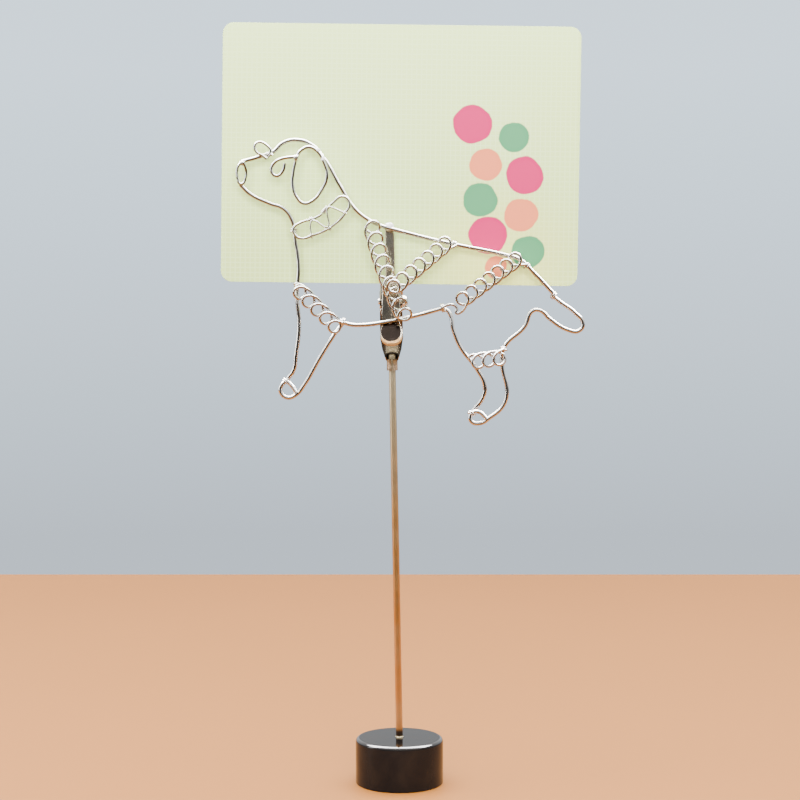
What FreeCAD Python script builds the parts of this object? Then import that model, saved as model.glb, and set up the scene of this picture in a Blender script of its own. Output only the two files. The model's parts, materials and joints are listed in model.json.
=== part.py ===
import FreeCAD, Part
import math
import os
import Sketcher

V = FreeCAD.Vector
Rotation = FreeCAD.Rotation
Placement = FreeCAD.Placement

doc = FreeCAD.newDocument("memo_clip_holder")

# Driving dimensions in millimetres and degrees. +Z is up, +X is to the right
# of somebody who faces the wire figure, and -Y points at that person.
SIZES = {
    # Round weight on the table
    "base_diameter": 30.6,
    "base_height": 15.85,
    "base_roundover": 1.4,
    "base_foot_chamfer": 0.4,
    # Rod, which leans a little to the left
    "rod_diameter": 2.4,
    "rod_lean": 1.1,
    "rod_reach": 133.6,
    "rod_bore_depth": 11.0,
    "rod_shank": 10.0,
    "foot_ring_width": 2.9,
    "foot_ring_height": 0.4,
    "foot_ring_lift": 0.03,
    "press_gap": 0.02,
    # Alligator clip: where its pin sits above the rod's top and in front of it
    "pin_above_rod": 18.2,
    "pin_forward": 4.7,
    "pin_diameter": 1.6,
    "pin_play": 0.06,
    "sheet_steel": 0.5,
    "jaw_reach": 25.2,
    "jaw_tip_depth": 2.9,
    "jaw_tip_half": 1.6,
    "jaw_tip_round": 0.5,
    "jaw_neck": 9.0,
    "jaw_neck_half": 1.7,
    "shoulder_height": 5.5,
    "shoulder_run": 2.5,
    "shoulder_taper": 0.25,
    "grip_gap": 0.24,
    "tooth_pitch": 1.5,
    "tooth_depth": 0.6,
    "ear_radius": 2.4,
    "front_root_depth": 4.85,
    "front_ear_half": 3.15,
    "tab_start": 7.0,
    "tab_flare": 1.0,
    "tab_half": 3.45,
    "tab_drop": 14.2,
    "tab_depth": 8.6,
    "lip_out": 1.0,
    "back_root_depth": 4.95,
    "back_ear_half": 3.85,
    "trough_depth": 6.4,
    "trough_wall_front": 3.0,
    "trough_wall_step": 1.0,
    "trough_start": 10.0,
    "trough_narrows": 12.5,
    "trough_flare": 0.1,
    "trough_taper": 0.55,
    "trough_taper_run": 4.0,
    "trough_end": 20.4,
    "trough_end_half": 2.1,
    "barrel_radius": 1.9,
    "barrel_length": 3.9,
    "barrel_overlap": 0.5,
    "seam_width": 0.4,
    "cut_past": 1.0,
    # Rivet and torsion spring on it
    "rivet_head_radius": 2.05,
    "rivet_head_height": 1.9,
    "rivet_tail_radius": 1.0,
    "rivet_tail_length": 0.5,
    "spring_wire": 0.5,
    "spring_radius": 1.3,
    "spring_pitch": 0.7,
    "spring_turns": 4.5,
    "spring_play": 0.1,
    "spring_leg_short": 1.2,
    # Memo card between the jaws
    "card_width": 122.0,
    "card_height": 88.0,
    "card_thickness": 0.4,
    "card_corner": 3.8,
    "card_roll": 1.85,
    "card_right": 4.3,
    "card_foot": 5.9,
    # Wires of the figure
    "figure_gap": 5.65,
    "frame_wire": 1.4,
    "ear_wire": 1.2,
    "coil_wire": 0.95,
    "lace_wire": 0.6,
    "touch_gap": 0.02,
    "coil_depth": 0.95,
    "coil_along": 2.9,
    "coil_across": 2.4,
    "shoulder_across": 2.9,
    # Solder
    "tip_solder_radius": 1.3,
    "tip_solder_depth": 3.5,
    "face_solder_radius": 0.55,
    "face_solder_length": 3.0,
    "ear_solder_radius": 0.8,
    "ear_solder_depth": 1.3,
}

sheet = doc.addObject("Spreadsheet::Sheet", "Sizes")
for row, (alias, value) in enumerate(SIZES.items(), start=1):
    cell = "A%d" % row
    sheet.set(cell, str(value))
    sheet.setAlias(cell, alias)
doc.recompute()


def size(alias):
    """The value that the sheet holds under this alias."""
    return float(getattr(sheet, alias))


def place(x=0.0, y=0.0, z=0.0, turn=None):
    return Placement(V(x, y, z), turn or Rotation())


# The stem frame stands on the middle of the base's top and leans with the rod.
# The clip frame sits on the pin, with the jaws' closing plane at y = 0.
# The figure frame is the plane of the thick wires, in front of the clip.
STEM = place(z=size("base_height"), turn=Rotation(V(0, 1, 0), -size("rod_lean")))
CLIP = STEM * place(y=-size("pin_forward"), z=size("rod_reach") + size("pin_above_rod"))
FIGURE = CLIP * place(y=-size("figure_gap"))

# Sketch planes: FRONT holds (x, z) and faces -Y, SIDE holds (y, z) and faces +X.
FRONT = Rotation(V(1, 0, 0), 90)
SIDE = Rotation(V(1, 1, 1), 120)


# Helpers

def bind(thing, **links):
    """Tie properties of an object to expressions in the sheet's aliases."""
    for prop, expression in links.items():
        thing.setExpression(prop, expression)
    return thing


def add(kind, name, **links):
    return bind(doc.addObject(kind, name), **links)


def combine(kind, name, first, second):
    """Part::Cut, Part::Fuse or Part::Common of two objects."""
    joined = doc.addObject(kind, name)
    joined.Base, joined.Tool = first, second
    return joined


def outline(name, corners, plane, holder=None):
    """A closed sketch whose corners are pairs of expressions."""
    sketch = holder.newObject("Sketcher::SketchObject", name) if holder \
        else doc.addObject("Sketcher::SketchObject", name)
    count = len(corners)
    start = [V(math.cos(math.tau * i / count), math.sin(math.tau * i / count), 0)
             for i in range(count)]
    for i in range(count):
        sketch.addGeometry(Part.LineSegment(start[i], start[(i + 1) % count]))
    for i in range(count):
        sketch.addConstraint(Sketcher.Constraint("Coincident", i, 2, (i + 1) % count, 1))
    for i, (across, up) in enumerate(corners):
        for kind, expression, guess in (("DistanceX", across, start[i].x),
                                        ("DistanceY", up, start[i].y)):
            index = sketch.addConstraint(Sketcher.Constraint(kind, -1, 1, i, 1, guess))
            sketch.setExpression("Constraints[%d]" % index, expression)
    if plane:
        sketch.Placement = Placement(V(), plane)
    return sketch


def mirrored(half):
    """Corners of a symmetric outline from its right half, listed from the top."""
    return half + [("-(%s)" % across, up) for across, up in reversed(half)]


def slab(name, corners, plane, reach="3 * Sizes.tab_depth"):
    """An outline pushed out both ways from its plane."""
    flat = outline(name + "_outline", corners, plane)
    thick = doc.addObject("Part::Extrusion", name)
    thick.Base = flat
    thick.DirMode = "Normal"
    thick.Solid = True
    thick.Symmetric = True
    return bind(thick, LengthFwd=reach)


def body_plane(body, role):
    return next(f for f in body.Origin.OriginFeatures if f.Role == role)


def label(thing, node, placement):
    """Name a finished sub-part and put it in its place."""
    thing.Label = node
    thing.Placement = placement
    NODES[node] = thing
    return thing


NODES = {}


def smooth(points, pieces=3, least_turn=4.0):
    """A soft bend through hand-chosen points, as short straight runs."""
    spots = [V(p[0], p[2] if len(p) > 2 else 0.0, p[1]) for p in points]
    gaps = [(b - a).Length for a, b in zip(spots, spots[1:])]
    pulls = [(spots[1] - spots[0]) / gaps[0]]
    for i in range(1, len(spots) - 1):
        behind = (spots[i] - spots[i - 1]) / gaps[i - 1]
        ahead = (spots[i + 1] - spots[i]) / gaps[i]
        pulls.append((behind * gaps[i] + ahead * gaps[i - 1]) / (gaps[i] + gaps[i - 1]))
    pulls.append((spots[-1] - spots[-2]) / gaps[-1])
    run = [spots[0]]
    for i, gap in enumerate(gaps):
        for step in range(1, pieces + 1):
            k = step / pieces
            run.append(spots[i] * (2 * k ** 3 - 3 * k ** 2 + 1)
                       + pulls[i] * (gap * (k ** 3 - 2 * k ** 2 + k))
                       + spots[i + 1] * (3 * k ** 2 - 2 * k ** 3)
                       + pulls[i + 1] * (gap * (k ** 3 - k ** 2)))
    kept = [run[0]]
    for here, after in zip(run[1:], run[2:]):
        turn = math.degrees((here - kept[-1]).getAngle(after - here))
        if turn > least_turn:
            kept.append(here)
    return kept + [run[-1]]


def wire(node, run, alias, placement, sides=8):
    """Round wire as a many-sided rod along a bent run."""
    route = doc.addObject("Part::Feature", node + "_route")
    route.Shape = Part.makePolygon(run)
    section = add("Part::RegularPolygon", node + "_section",
                  Circumradius="Sizes.%s / 2" % alias)
    section.Polygon = sides
    section.Placement = Placement(run[0], Rotation(V(0, 0, 1), run[1] - run[0]))
    rod = doc.addObject("Part::Sweep", node + "_wire")
    rod.Sections = [section]
    rod.Spine = (route, ["Edge%d" % (i + 1) for i in range(len(run) - 1)])
    rod.Solid = True
    rod.Transition = "Right corner"
    return label(rod, node, placement) if placement else rod


# Round weight: a turned steel disc, black, with a rounded upper rim and a
# slanting bore for the rod
body = doc.addObject("PartDesign::Body", "weight_body")
rim = outline("weight_profile", [
    ("0", "0"),
    ("Sizes.base_diameter / 2 - Sizes.base_foot_chamfer", "0"),
    ("Sizes.base_diameter / 2", "Sizes.base_foot_chamfer"),
    ("Sizes.base_diameter / 2", "Sizes.base_height - Sizes.base_roundover"),
    ("Sizes.base_diameter / 2 - 0.3 * Sizes.base_roundover",
     "Sizes.base_height - 0.3 * Sizes.base_roundover"),
    ("Sizes.base_diameter / 2 - Sizes.base_roundover", "Sizes.base_height"),
    ("0", "Sizes.base_height")], None, body)
rim.AttachmentSupport = (body_plane(body, "XZ_Plane"), [""])
rim.MapMode = "FlatFace"
turned = body.newObject("PartDesign::Revolution", "weight_turned")
turned.Profile = rim
turned.ReferenceAxis = (rim, ["V_Axis"])
turned.Angle = 360
body.Tip = turned
bore = add("Part::Cylinder", "weight_bore",
           Radius="Sizes.rod_diameter / 2 + Sizes.press_gap",
           Height="Sizes.rod_bore_depth + 2 * Sizes.cut_past")
bore.Placement = STEM * place(z=-size("rod_bore_depth"))
label(combine("Part::Cut", "weight", body, bore), "base_weight", Placement())

# Rod: drawn steel with a rolled ring that stops it on the weight
shaft = add("Part::Cylinder", "rod_shaft", Radius="Sizes.rod_diameter / 2",
            Height="Sizes.rod_reach + Sizes.rod_shank")
shaft.Placement = place(z=-size("rod_shank"))
ring = add("Part::Cylinder", "rod_ring", Radius="Sizes.foot_ring_width / 2",
           Height="Sizes.foot_ring_height")
ring.Placement = place(z=size("foot_ring_lift"))
label(combine("Part::Fuse", "rod", shaft, ring), "stem_rod", STEM)


# Alligator clip: each jaw is one pressing, a channel of sheet steel. It is the
# part that its side outline and its front outline have in common, less the
# same inside, so that web, ears, teeth and tail keep one sheet thickness.
TEETH = 10


def teeth(sign):
    """Saw teeth on the closing edge, from the tip down to the neck."""
    edge = "%s(Sizes.grip_gap)" % sign
    notch = "%s(Sizes.grip_gap + Sizes.tooth_depth)" % sign
    corners = []
    for i in range(TEETH):
        top = "Sizes.jaw_reach - %d * Sizes.tooth_pitch" % i
        corners.append((edge, top))
        corners.append((notch, top + " - Sizes.tooth_pitch"))
    return corners + [(edge, "Sizes.jaw_reach - %d * Sizes.tooth_pitch" % TEETH)]


TIP_FRONT = [("Sizes.jaw_tip_half - Sizes.jaw_tip_round", "Sizes.jaw_reach"),
             ("Sizes.jaw_tip_half", "Sizes.jaw_reach - Sizes.jaw_tip_round"),
             ("Sizes.jaw_neck_half", "Sizes.jaw_neck")]
TIP_INSIDE = [("Sizes.jaw_tip_half - Sizes.sheet_steel", "Sizes.jaw_reach"),
              ("Sizes.jaw_neck_half - Sizes.sheet_steel", "Sizes.jaw_neck")]


def shoulder(ear_half, less=""):
    """Where the narrow jaw spreads to its ears, as two corners."""
    return [("Sizes.%s - Sizes.shoulder_taper%s" % (ear_half, less), "Sizes.shoulder_height"),
            ("Sizes.%s%s" % (ear_half, less), "Sizes.shoulder_height - Sizes.shoulder_run")]


def ear(sign):
    """Lower round of an ear about the pin, from its far side to the closing plane."""
    spots = ((-0.4, -1.0), (0.35, -1.0), (0.85, -0.6), (1.0, 0.1), (0.75, 0.8))
    return [("%s(%s) * Sizes.ear_radius" % (sign, y), "(%s) * Sizes.ear_radius" % z)
            for y, z in spots]


def pressing(name, side, front, side_inner, front_inner):
    outer = combine("Part::Common", name + "_outside", slab(name + "_side", side, SIDE),
                    slab(name + "_front", front, FRONT))
    inner = combine("Part::Common", name + "_inside",
                    slab(name + "_side_inner", side_inner, SIDE),
                    slab(name + "_front_inner", front_inner, FRONT))
    return combine("Part::Cut", name + "_channel", outer, inner)


def pin_hole(name, blank):
    hole = add("Part::Cylinder", name + "_hole",
               Radius="Sizes.pin_diameter / 2 + Sizes.pin_play",
               Height="4 * Sizes.back_ear_half")
    hole.Placement = place(x=-2 * size("back_ear_half"), turn=Rotation(V(0, 1, 0), 90))
    return combine("Part::Cut", name, blank, hole)


# Front jaw, which swings: long narrow jaw, ears on the pin, thumb tab with a lip
front_side = [("-Sizes.jaw_tip_depth", "Sizes.jaw_reach"),
              ("-Sizes.front_root_depth", "-Sizes.tab_start"),
              ("-Sizes.tab_depth", "-Sizes.tab_drop + 0.7 * Sizes.lip_out"),
              ("-Sizes.tab_depth - Sizes.lip_out", "-Sizes.tab_drop"),
              ("-Sizes.tab_depth - 0.8 * Sizes.lip_out", "-Sizes.tab_drop - Sizes.sheet_steel"),
              ("-Sizes.tab_depth + 0.8 * Sizes.sheet_steel",
               "-Sizes.tab_drop + 0.2 * Sizes.lip_out"),
              ("-Sizes.front_root_depth + Sizes.sheet_steel",
               "-Sizes.tab_start - 0.8 * Sizes.sheet_steel"),
              ] + ear("") + [("-Sizes.grip_gap", "Sizes.shoulder_height")]
front_side += [(y, z) for y, z in reversed(teeth("-"))]
front_front = mirrored(TIP_FRONT + shoulder("front_ear_half") + [
    ("Sizes.front_ear_half", "-Sizes.tab_start + Sizes.tab_flare"),
    ("Sizes.tab_half", "-Sizes.tab_start - 2 * Sizes.tab_flare"),
    ("Sizes.tab_half", "-Sizes.tab_drop + 0.93 * Sizes.tab_half"),
    ("0.9 * Sizes.tab_half", "-Sizes.tab_drop + 0.52 * Sizes.tab_half"),
    ("0.7 * Sizes.tab_half", "-Sizes.tab_drop + 0.2 * Sizes.tab_half"),
    ("0.35 * Sizes.tab_half", "-Sizes.tab_drop - 0.06 * Sizes.tab_half")])
front_inside = [
    ("-Sizes.jaw_tip_depth + Sizes.sheet_steel", "Sizes.jaw_reach - Sizes.sheet_steel"),
    ("-Sizes.front_root_depth + Sizes.sheet_steel", "-Sizes.tab_start"),
    ("Sizes.front_root_depth", "-Sizes.tab_start - Sizes.sheet_steel"),
    ("Sizes.front_root_depth", "Sizes.jaw_reach - Sizes.sheet_steel")]
front_walls = mirrored(TIP_INSIDE + shoulder("front_ear_half", " - Sizes.sheet_steel") + [
    ("Sizes.front_ear_half - Sizes.sheet_steel", "-Sizes.tab_start - Sizes.cut_past")])
front_jaw = pin_hole("front_jaw", pressing("front_blank", front_side, front_front,
                                           front_inside, front_walls))
label(front_jaw, "clip_front_jaw", CLIP)

# Back jaw, which stays: its ears straddle the front jaw's, and its open tail
# narrows to a barrel that is squeezed round the top of the rod
back_side = [("Sizes.jaw_tip_depth", "Sizes.jaw_reach"),
             ("Sizes.back_root_depth", "-0.1 * Sizes.trough_start"),
             ("Sizes.trough_depth", "-Sizes.trough_start"),
             ("Sizes.trough_depth", "-Sizes.trough_end"),
             ("Sizes.trough_wall_front + Sizes.trough_wall_step", "-Sizes.trough_end"),
             ("Sizes.trough_wall_front", "-Sizes.trough_end + 1.2 * Sizes.trough_wall_step"),
             ("Sizes.trough_wall_front", "-Sizes.trough_start + 1.5 * Sizes.trough_wall_step"),
             ] + ear("-") + [("Sizes.grip_gap", "Sizes.shoulder_height")]
back_side += [(y, z) for y, z in reversed(teeth(""))]


def trough(less=""):
    """Where the trough behind the ears narrows toward the barrel, as two corners."""
    return [("Sizes.back_ear_half + Sizes.trough_flare%s" % less, "-Sizes.trough_narrows"),
            ("Sizes.back_ear_half - Sizes.trough_taper%s" % less,
             "-Sizes.trough_narrows - Sizes.trough_taper_run")]


back_front = mirrored(TIP_FRONT + shoulder("back_ear_half") + trough() + [
    ("Sizes.trough_end_half", "-Sizes.trough_end")])
back_inside = [
    ("Sizes.jaw_tip_depth - Sizes.sheet_steel", "Sizes.jaw_reach - Sizes.sheet_steel"),
    ("Sizes.back_root_depth - Sizes.sheet_steel", "-0.1 * Sizes.trough_start"),
    ("Sizes.trough_depth - Sizes.sheet_steel", "-Sizes.trough_start"),
    ("Sizes.trough_depth - Sizes.sheet_steel", "-Sizes.trough_end - Sizes.cut_past"),
    ("-Sizes.back_root_depth", "-Sizes.trough_end - Sizes.cut_past"),
    ("-Sizes.back_root_depth", "Sizes.jaw_reach - Sizes.sheet_steel")]
back_walls = mirrored(TIP_INSIDE + shoulder("back_ear_half", " - Sizes.sheet_steel")
                      + trough(" - Sizes.sheet_steel") + [
    ("Sizes.trough_end_half - Sizes.sheet_steel", "-Sizes.trough_end - Sizes.cut_past")])
back_blank = pressing("back_blank", back_side, back_front, back_inside, back_walls)
barrel = add("Part::Cylinder", "barrel", Radius="Sizes.barrel_radius",
             Height="Sizes.barrel_length")
barrel.Placement = place(y=size("pin_forward"),
                         z=-size("trough_end") - size("barrel_length") + size("barrel_overlap"))
barrel_bore = add("Part::Cylinder", "barrel_bore",
                  Radius="Sizes.rod_diameter / 2 + Sizes.press_gap",
                  Height="3 * Sizes.barrel_length")
barrel_bore.Placement = place(y=size("pin_forward"),
                              z=-size("trough_end") - 2 * size("barrel_length"))
seam = add("Part::Box", "barrel_seam", Length="Sizes.seam_width",
           Width="Sizes.barrel_radius", Height="3 * Sizes.barrel_length")
seam.Placement = place(x=-size("seam_width") / 2,
                       y=size("pin_forward") - size("barrel_radius"),
                       z=-size("trough_end") - 2 * size("barrel_length"))
tailed = combine("Part::Fuse", "back_tailed", back_blank, barrel)
bored = combine("Part::Cut", "back_bored", tailed, barrel_bore)
seamed = combine("Part::Cut", "back_seamed", bored, seam)
label(pin_hole("back_jaw", seamed), "clip_back_jaw", CLIP)

# Rivet through both jaws: a domed head on the right, turned in two slopes, and a
# small upset tail on the left
pin = add("Part::Cylinder", "rivet_pin", Radius="Sizes.pin_diameter / 2",
          Height="2 * Sizes.back_ear_half + 2 * Sizes.pin_play")
skirt = add("Part::Cone", "rivet_skirt", Radius1="Sizes.rivet_head_radius",
            Radius2="Sizes.rivet_head_radius * 0.8", Height="Sizes.rivet_head_height * 0.55")
skirt.Placement = place(z=2 * size("back_ear_half") + 2 * size("pin_play"))
crown = add("Part::Cone", "rivet_crown", Radius1="Sizes.rivet_head_radius * 0.8",
            Radius2="Sizes.rivet_head_radius * 0.35", Height="Sizes.rivet_head_height * 0.45")
crown.Placement = skirt.Placement * place(z=0.55 * size("rivet_head_height"))
tail = add("Part::Cylinder", "rivet_tail", Radius="Sizes.rivet_tail_radius",
           Height="Sizes.rivet_tail_length")
tail.Placement = place(z=-size("rivet_tail_length"))
rivet = doc.addObject("Part::MultiFuse", "rivet")
rivet.Shapes = [pin, skirt, crown, tail]
label(rivet, "clip_rivet",
      CLIP * place(x=-size("back_ear_half") - size("pin_play"), turn=Rotation(V(0, 1, 0), 90)))


# Torsion spring on the rivet: it winds from the front leg over the top to the
# back leg, and each leg bears on its jaw below the pin
def spring_run():
    radius = size("spring_radius")
    turns = size("spring_turns")
    half = size("spring_pitch") * turns / 2
    inset = size("sheet_steel") + size("spring_wire") / 2 + size("spring_play")
    front_leg = V(-half, -size("front_root_depth") + inset,
                  -size("tab_start") + size("spring_leg_short"))
    back_leg = V(half, size("trough_depth") - inset, -size("trough_start"))
    steps = 10
    run = [front_leg]
    for i in range(int(turns * steps) + 1):
        turn = math.pi - math.tau * i / steps
        run.append(V(-half + size("spring_pitch") * i / steps,
                     radius * math.cos(turn), radius * math.sin(turn)))
    return run + [back_leg]


wire("clip_spring", spring_run(), "spring_wire", CLIP, sides=6)

# Memo card, gripped at the middle of its lower edge and a little out of level
card_body = doc.addObject("PartDesign::Body", "card_body")
card_sketch = outline("card_outline", mirrored([
    ("Sizes.card_width / 2", "Sizes.card_height / 2"),
    ("Sizes.card_width / 2", "-Sizes.card_height / 2")]), None, card_body)
card_sketch.AttachmentSupport = (body_plane(card_body, "XZ_Plane"), [""])
card_sketch.MapMode = "FlatFace"
card_pad = card_body.newObject("PartDesign::Pad", "card_sheet")
card_pad.Profile = card_sketch
card_pad.Midplane = True
card_pad.setExpression("Length", "Sizes.card_thickness")
doc.recompute()
corners = ["Edge%d" % i for i, edge in enumerate(card_pad.Shape.Edges, start=1)
           if abs(edge.Length - size("card_thickness")) < 1e-4]
card_round = card_body.newObject("PartDesign::Fillet", "card_corners")
card_round.Base = (card_pad, corners)
card_round.setExpression("Radius", "Sizes.card_corner")
card_body.Tip = card_round
label(card_body, "memo_card", CLIP * place(
    x=size("card_right"), z=size("card_foot") + size("card_height") / 2,
    turn=Rotation(V(0, 1, 0), size("card_roll"))))

# Depths in the figure, toward the viewer, of wires that cross the frame wires
TRIM = -(size("frame_wire") + size("coil_wire")) / 2 - size("touch_gap")
EAR = -(size("frame_wire") + size("ear_wire")) / 2 - size("touch_gap")
LACE = TRIM - (size("coil_wire") + size("lace_wire")) / 2 - size("touch_gap")
BESIDE = size("frame_wire") + size("touch_gap")
OVER_EAR = -size("ear_wire") - size("touch_gap")
OVER_COIL = -size("coil_wire") - size("touch_gap")

# Thick frame wires of the walking dog, as (x, z) from the pin, with a third
# number where a wire leaves the plane to pass another or itself. Each is one
# length of wire, bent by hand, and its uneven bends are those of the real one.
FRAME = {
    "back_wire": [(-49.5, 48.0), (-43.4, 49.6), (-38.6, 51.3), (-35.5, 54.0), (-30.8, 55.0),
                  (-25.7, 53.2), (-21.5, 48.3), (-16.6, 39.6), (-11.7, 31.6), (-7.3, 27.8),
                  (-2.3, 25.4), (3.4, 23.7), (18.6, 19.6), (39.9, 14.7), (43.6, 13.5),
                  (48.9, 8.5), (55.9, 0.8)],
    "tail_wire": [(54.6, 1.2, BESIDE), (57.9, -1.6, BESIDE / 4), (62.3, -5.0), (65.1, -8.9),
                  (63.6, -11.3), (60.2, -11.0), (53.8, -7.0), (50.8, -4.2), (48.1, -4.2),
                  (45.3, -9.4), (38.0, -16.7), (37.4, -22.2), (38.9, -31.7), (37.3, -36.5),
                  (33.2, -40.0), (29.4, -42.1), (26.5, -41.2), (26.7, -38.8),
                  (29.0, -38.1, -BESIDE / 2), (31.8, -40.4, -BESIDE)],
    "chest_wire": [(-50.2, 40.4), (-46.7, 37.0), (-40.4, 33.8), (-35.7, 31.9), (-32.9, 28.0),
                   (-32.0, 21.9), (-31.0, 11.7), (-31.8, 3.6), (-31.3, -7.6), (-32.6, -17.8),
                   (-33.5, -22.8, BESIDE / 3), (-36.1, -26.2, BESIDE)],
    "front_leg_wire": [(-16.2, -6.9, BESIDE), (-19.1, -10.5, BESIDE / 3), (-24.6, -18.9),
                       (-29.9, -27.7), (-32.7, -31.0), (-35.7, -32.1), (-38.0, -30.2),
                       (-37.7, -27.9), (-36.0, -26.7), (-34.2, -28.0, -BESIDE / 2),
                       (-32.6, -30.5, -BESIDE)],
    "belly_wire": [(-17.5, -6.2), (-14.5, -7.5), (-10.1, -7.9), (-0.5, -6.8), (7.0, -5.4),
                   (17.5, -2.8)],
    "hind_leg_wire": [(17.2, -2.4, BESIDE), (19.6, -4.0, BESIDE / 2), (21.1, -10.3),
                      (23.4, -16.1), (28.7, -23.4), (31.3, -28.9), (30.9, -32.9, BESIDE / 4),
                      (27.2, -38.0, BESIDE)],
}
for node, points in FRAME.items():
    wire(node, smooth(points), "frame_wire", FIGURE)


def lifted(points, depth):
    """The same points, moved out of the frame plane where they name no depth."""
    return [(p[0], p[1], p[2] if len(p) > 2 else depth) for p in points]


# Thinner wires of the head: nose ring, raised brow, eye and hanging ear
NOSE = [(-48.4, 47.8), (-50.0, 47.2), (-51.0, 45.0), (-50.8, 42.1), (-50.2, 40.6),
        (-49.0, 40.7), (-48.2, 42.4), (-47.9, 44.4), (-48.2, 46.2, TRIM + 0.6 * OVER_COIL),
        (-48.8, 47.6, TRIM + OVER_COIL)]
BROW = [(-38.9, 49.8), (-39.7, 50.5), (-39.6, 51.8), (-41.0, 53.4), (-42.9, 54.4),
        (-44.5, 53.8), (-44.9, 52.4), (-44.1, 50.9), (-42.6, 50.0), (-40.9, 48.7)]
EYE = [(-34.8, 47.1), (-35.7, 44.4), (-37.7, 42.9), (-39.4, 44.5), (-38.5, 47.2),
       (-35.9, 48.6), (-32.2, 49.0, EAR + 0.8 * OVER_EAR), (-30.2, 49.0, EAR + OVER_EAR)]
DROP = [(-30.8, 49.2), (-29.4, 51.2), (-26.7, 52.4), (-24.0, 51.1), (-21.7, 47.3),
        (-20.7, 42.6), (-22.8, 37.6), (-26.0, 34.2), (-28.7, 33.5), (-31.0, 35.5),
        (-32.4, 40.1), (-32.0, 44.1), (-31.15, 48.1)]
wire("nose_ring", smooth(lifted(NOSE, TRIM)), "coil_wire", FIGURE, sides=6)
wire("brow_loop", smooth(lifted(BROW, TRIM)), "coil_wire", FIGURE, sides=6)
wire("eye_wire", smooth(lifted(EYE, EAR)), "ear_wire", FIGURE, sides=6)
wire("ear_wire", smooth(lifted(DROP, EAR)), "ear_wire", FIGURE, sides=6)

# Collar: a long loop laid across the neck, laced with one zigzag of fine wire
COLLAR = [(-21.7, 30.9), (-19.1, 33.4), (-15.4, 35.6), (-13.3, 33.4), (-14.8, 30.0),
          (-19.6, 25.5), (-26.1, 22.6), (-30.2, 21.8), (-32.0, 23.1), (-32.4, 25.2),
          (-30.1, 27.0), (-25.3, 28.4), (-22.7, 29.8)]
ZIGZAG = [(-26.4, 22.4), (-26.3, 28.1), (-20.5, 24.9), (-21.0, 31.1), (-20.2, 32.3),
          (-14.8, 29.9)]
wire("collar_ring", smooth(lifted(COLLAR, TRIM)), "coil_wire", FIGURE, sides=6)
wire("collar_zigzag", [V(x, LACE, z) for x, z in ZIGZAG], "lace_wire", FIGURE, sides=6)


# Flattened coils, like a spring that has fallen over: each turn is a ring, and
# one side of the rings moves on faster. The wire's two sides of a ring lie at
# different depths, so that neighbouring rings overlap without meeting.
def coil_run(first, last, turns, side, half, lead_in, lead_out, forward=0.0, sag=(0.0, 0.0)):
    """Run of a coil between its end rings' centres; side says where arcs join."""
    begin, finish = V(first[0], 0, first[1]), V(last[0], 0, last[1])
    along = (finish - begin).normalize()
    across = V(0, side, 0).cross(along)
    pitch = (finish - begin).Length / turns
    depth = size("coil_depth")
    steps = 12
    last_step = turns * steps
    run = [V(x, TRIM, z) for x, z in lead_in]
    for i in range(1 - steps // 2, last_step + steps // 2):
        turn = math.tau * i / steps + math.pi
        share = min(max(i / last_step, 0.0), 1.0)
        spot = begin + along * (pitch * i / steps + size("coil_along") * math.sin(turn)) \
            - across * (size(half) * math.cos(turn)) \
            + V(sag[0], 0, sag[1]) * (4 * share * (1 - share))
        spot.y = TRIM - depth + depth * math.sin(turn) + forward * share
        run.append(spot)
    return run + [V(x, TRIM, z) for x, z in lead_out]


# Each coil: its end rings, its turns, the side of its arcs, its rings' half width,
# how its two ends run out onto the frame wires that it joins, how far it comes
# forward and how it sags
COILS = {
    "shoulder_coil": ((-5.9, 24.9), (4.2, -4.7), 8, -1, "shoulder_across",
                      [(-4.4, 26.3), (-6.1, 26.7), (-7.6, 25.9)], [(2.0, -6.3)],
                      0.0, (-0.8, -0.5)),
    "flank_coil": ((18.8, 19.0), (1.6, 4.8), 6, 1, "coil_across", [(22.9, 18.6)], [], -2.95),
    "chest_coil": ((-30.4, 3.7), (-18.9, -8.0), 4, 1, "coil_across",
                   [(-31.8, 4.6), (-31.6, 6.0)], [(-15.0, -7.3)]),
    "haunch_coil": ((42.4, 13.0), (24.5, 0.1), 6, 1, "coil_across", [(45.9, 11.4)],
                    [(23.2, -4.5), (22.0, -4.4), (22.4, -2.9), (21.2, -1.7), (19.4, -1.6),
                     (17.4, -2.6)]),
    "hock_coil": ((29.1, -20.8), (36.3, -19.9), 2, 1, "coil_across",
                  [(26.6, -20.6), (26.2, -19.4)], [(38.0, -16.8)]),
}
for node, plan in COILS.items():
    wire(node, coil_run(*plan), "coil_wire", FIGURE, sides=6)


# Solder: a blob over the jaw's tip, a bead on the jaw's face and two lumps on
# the ear, each cut out where wires and jaw pass through it
def lump(name, spot, radius, length, turn, neighbours):
    blank = add("Part::Prism", name + "_lump", Circumradius="Sizes." + radius,
                Height="Sizes." + length)
    blank.Polygon = 8
    blank.Placement = FIGURE * place(*spot) * place(turn=turn)
    for neighbour in neighbours:
        blank = combine("Part::Cut", name + "_less_" + neighbour, blank, NODES[neighbour])
    return blank


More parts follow.
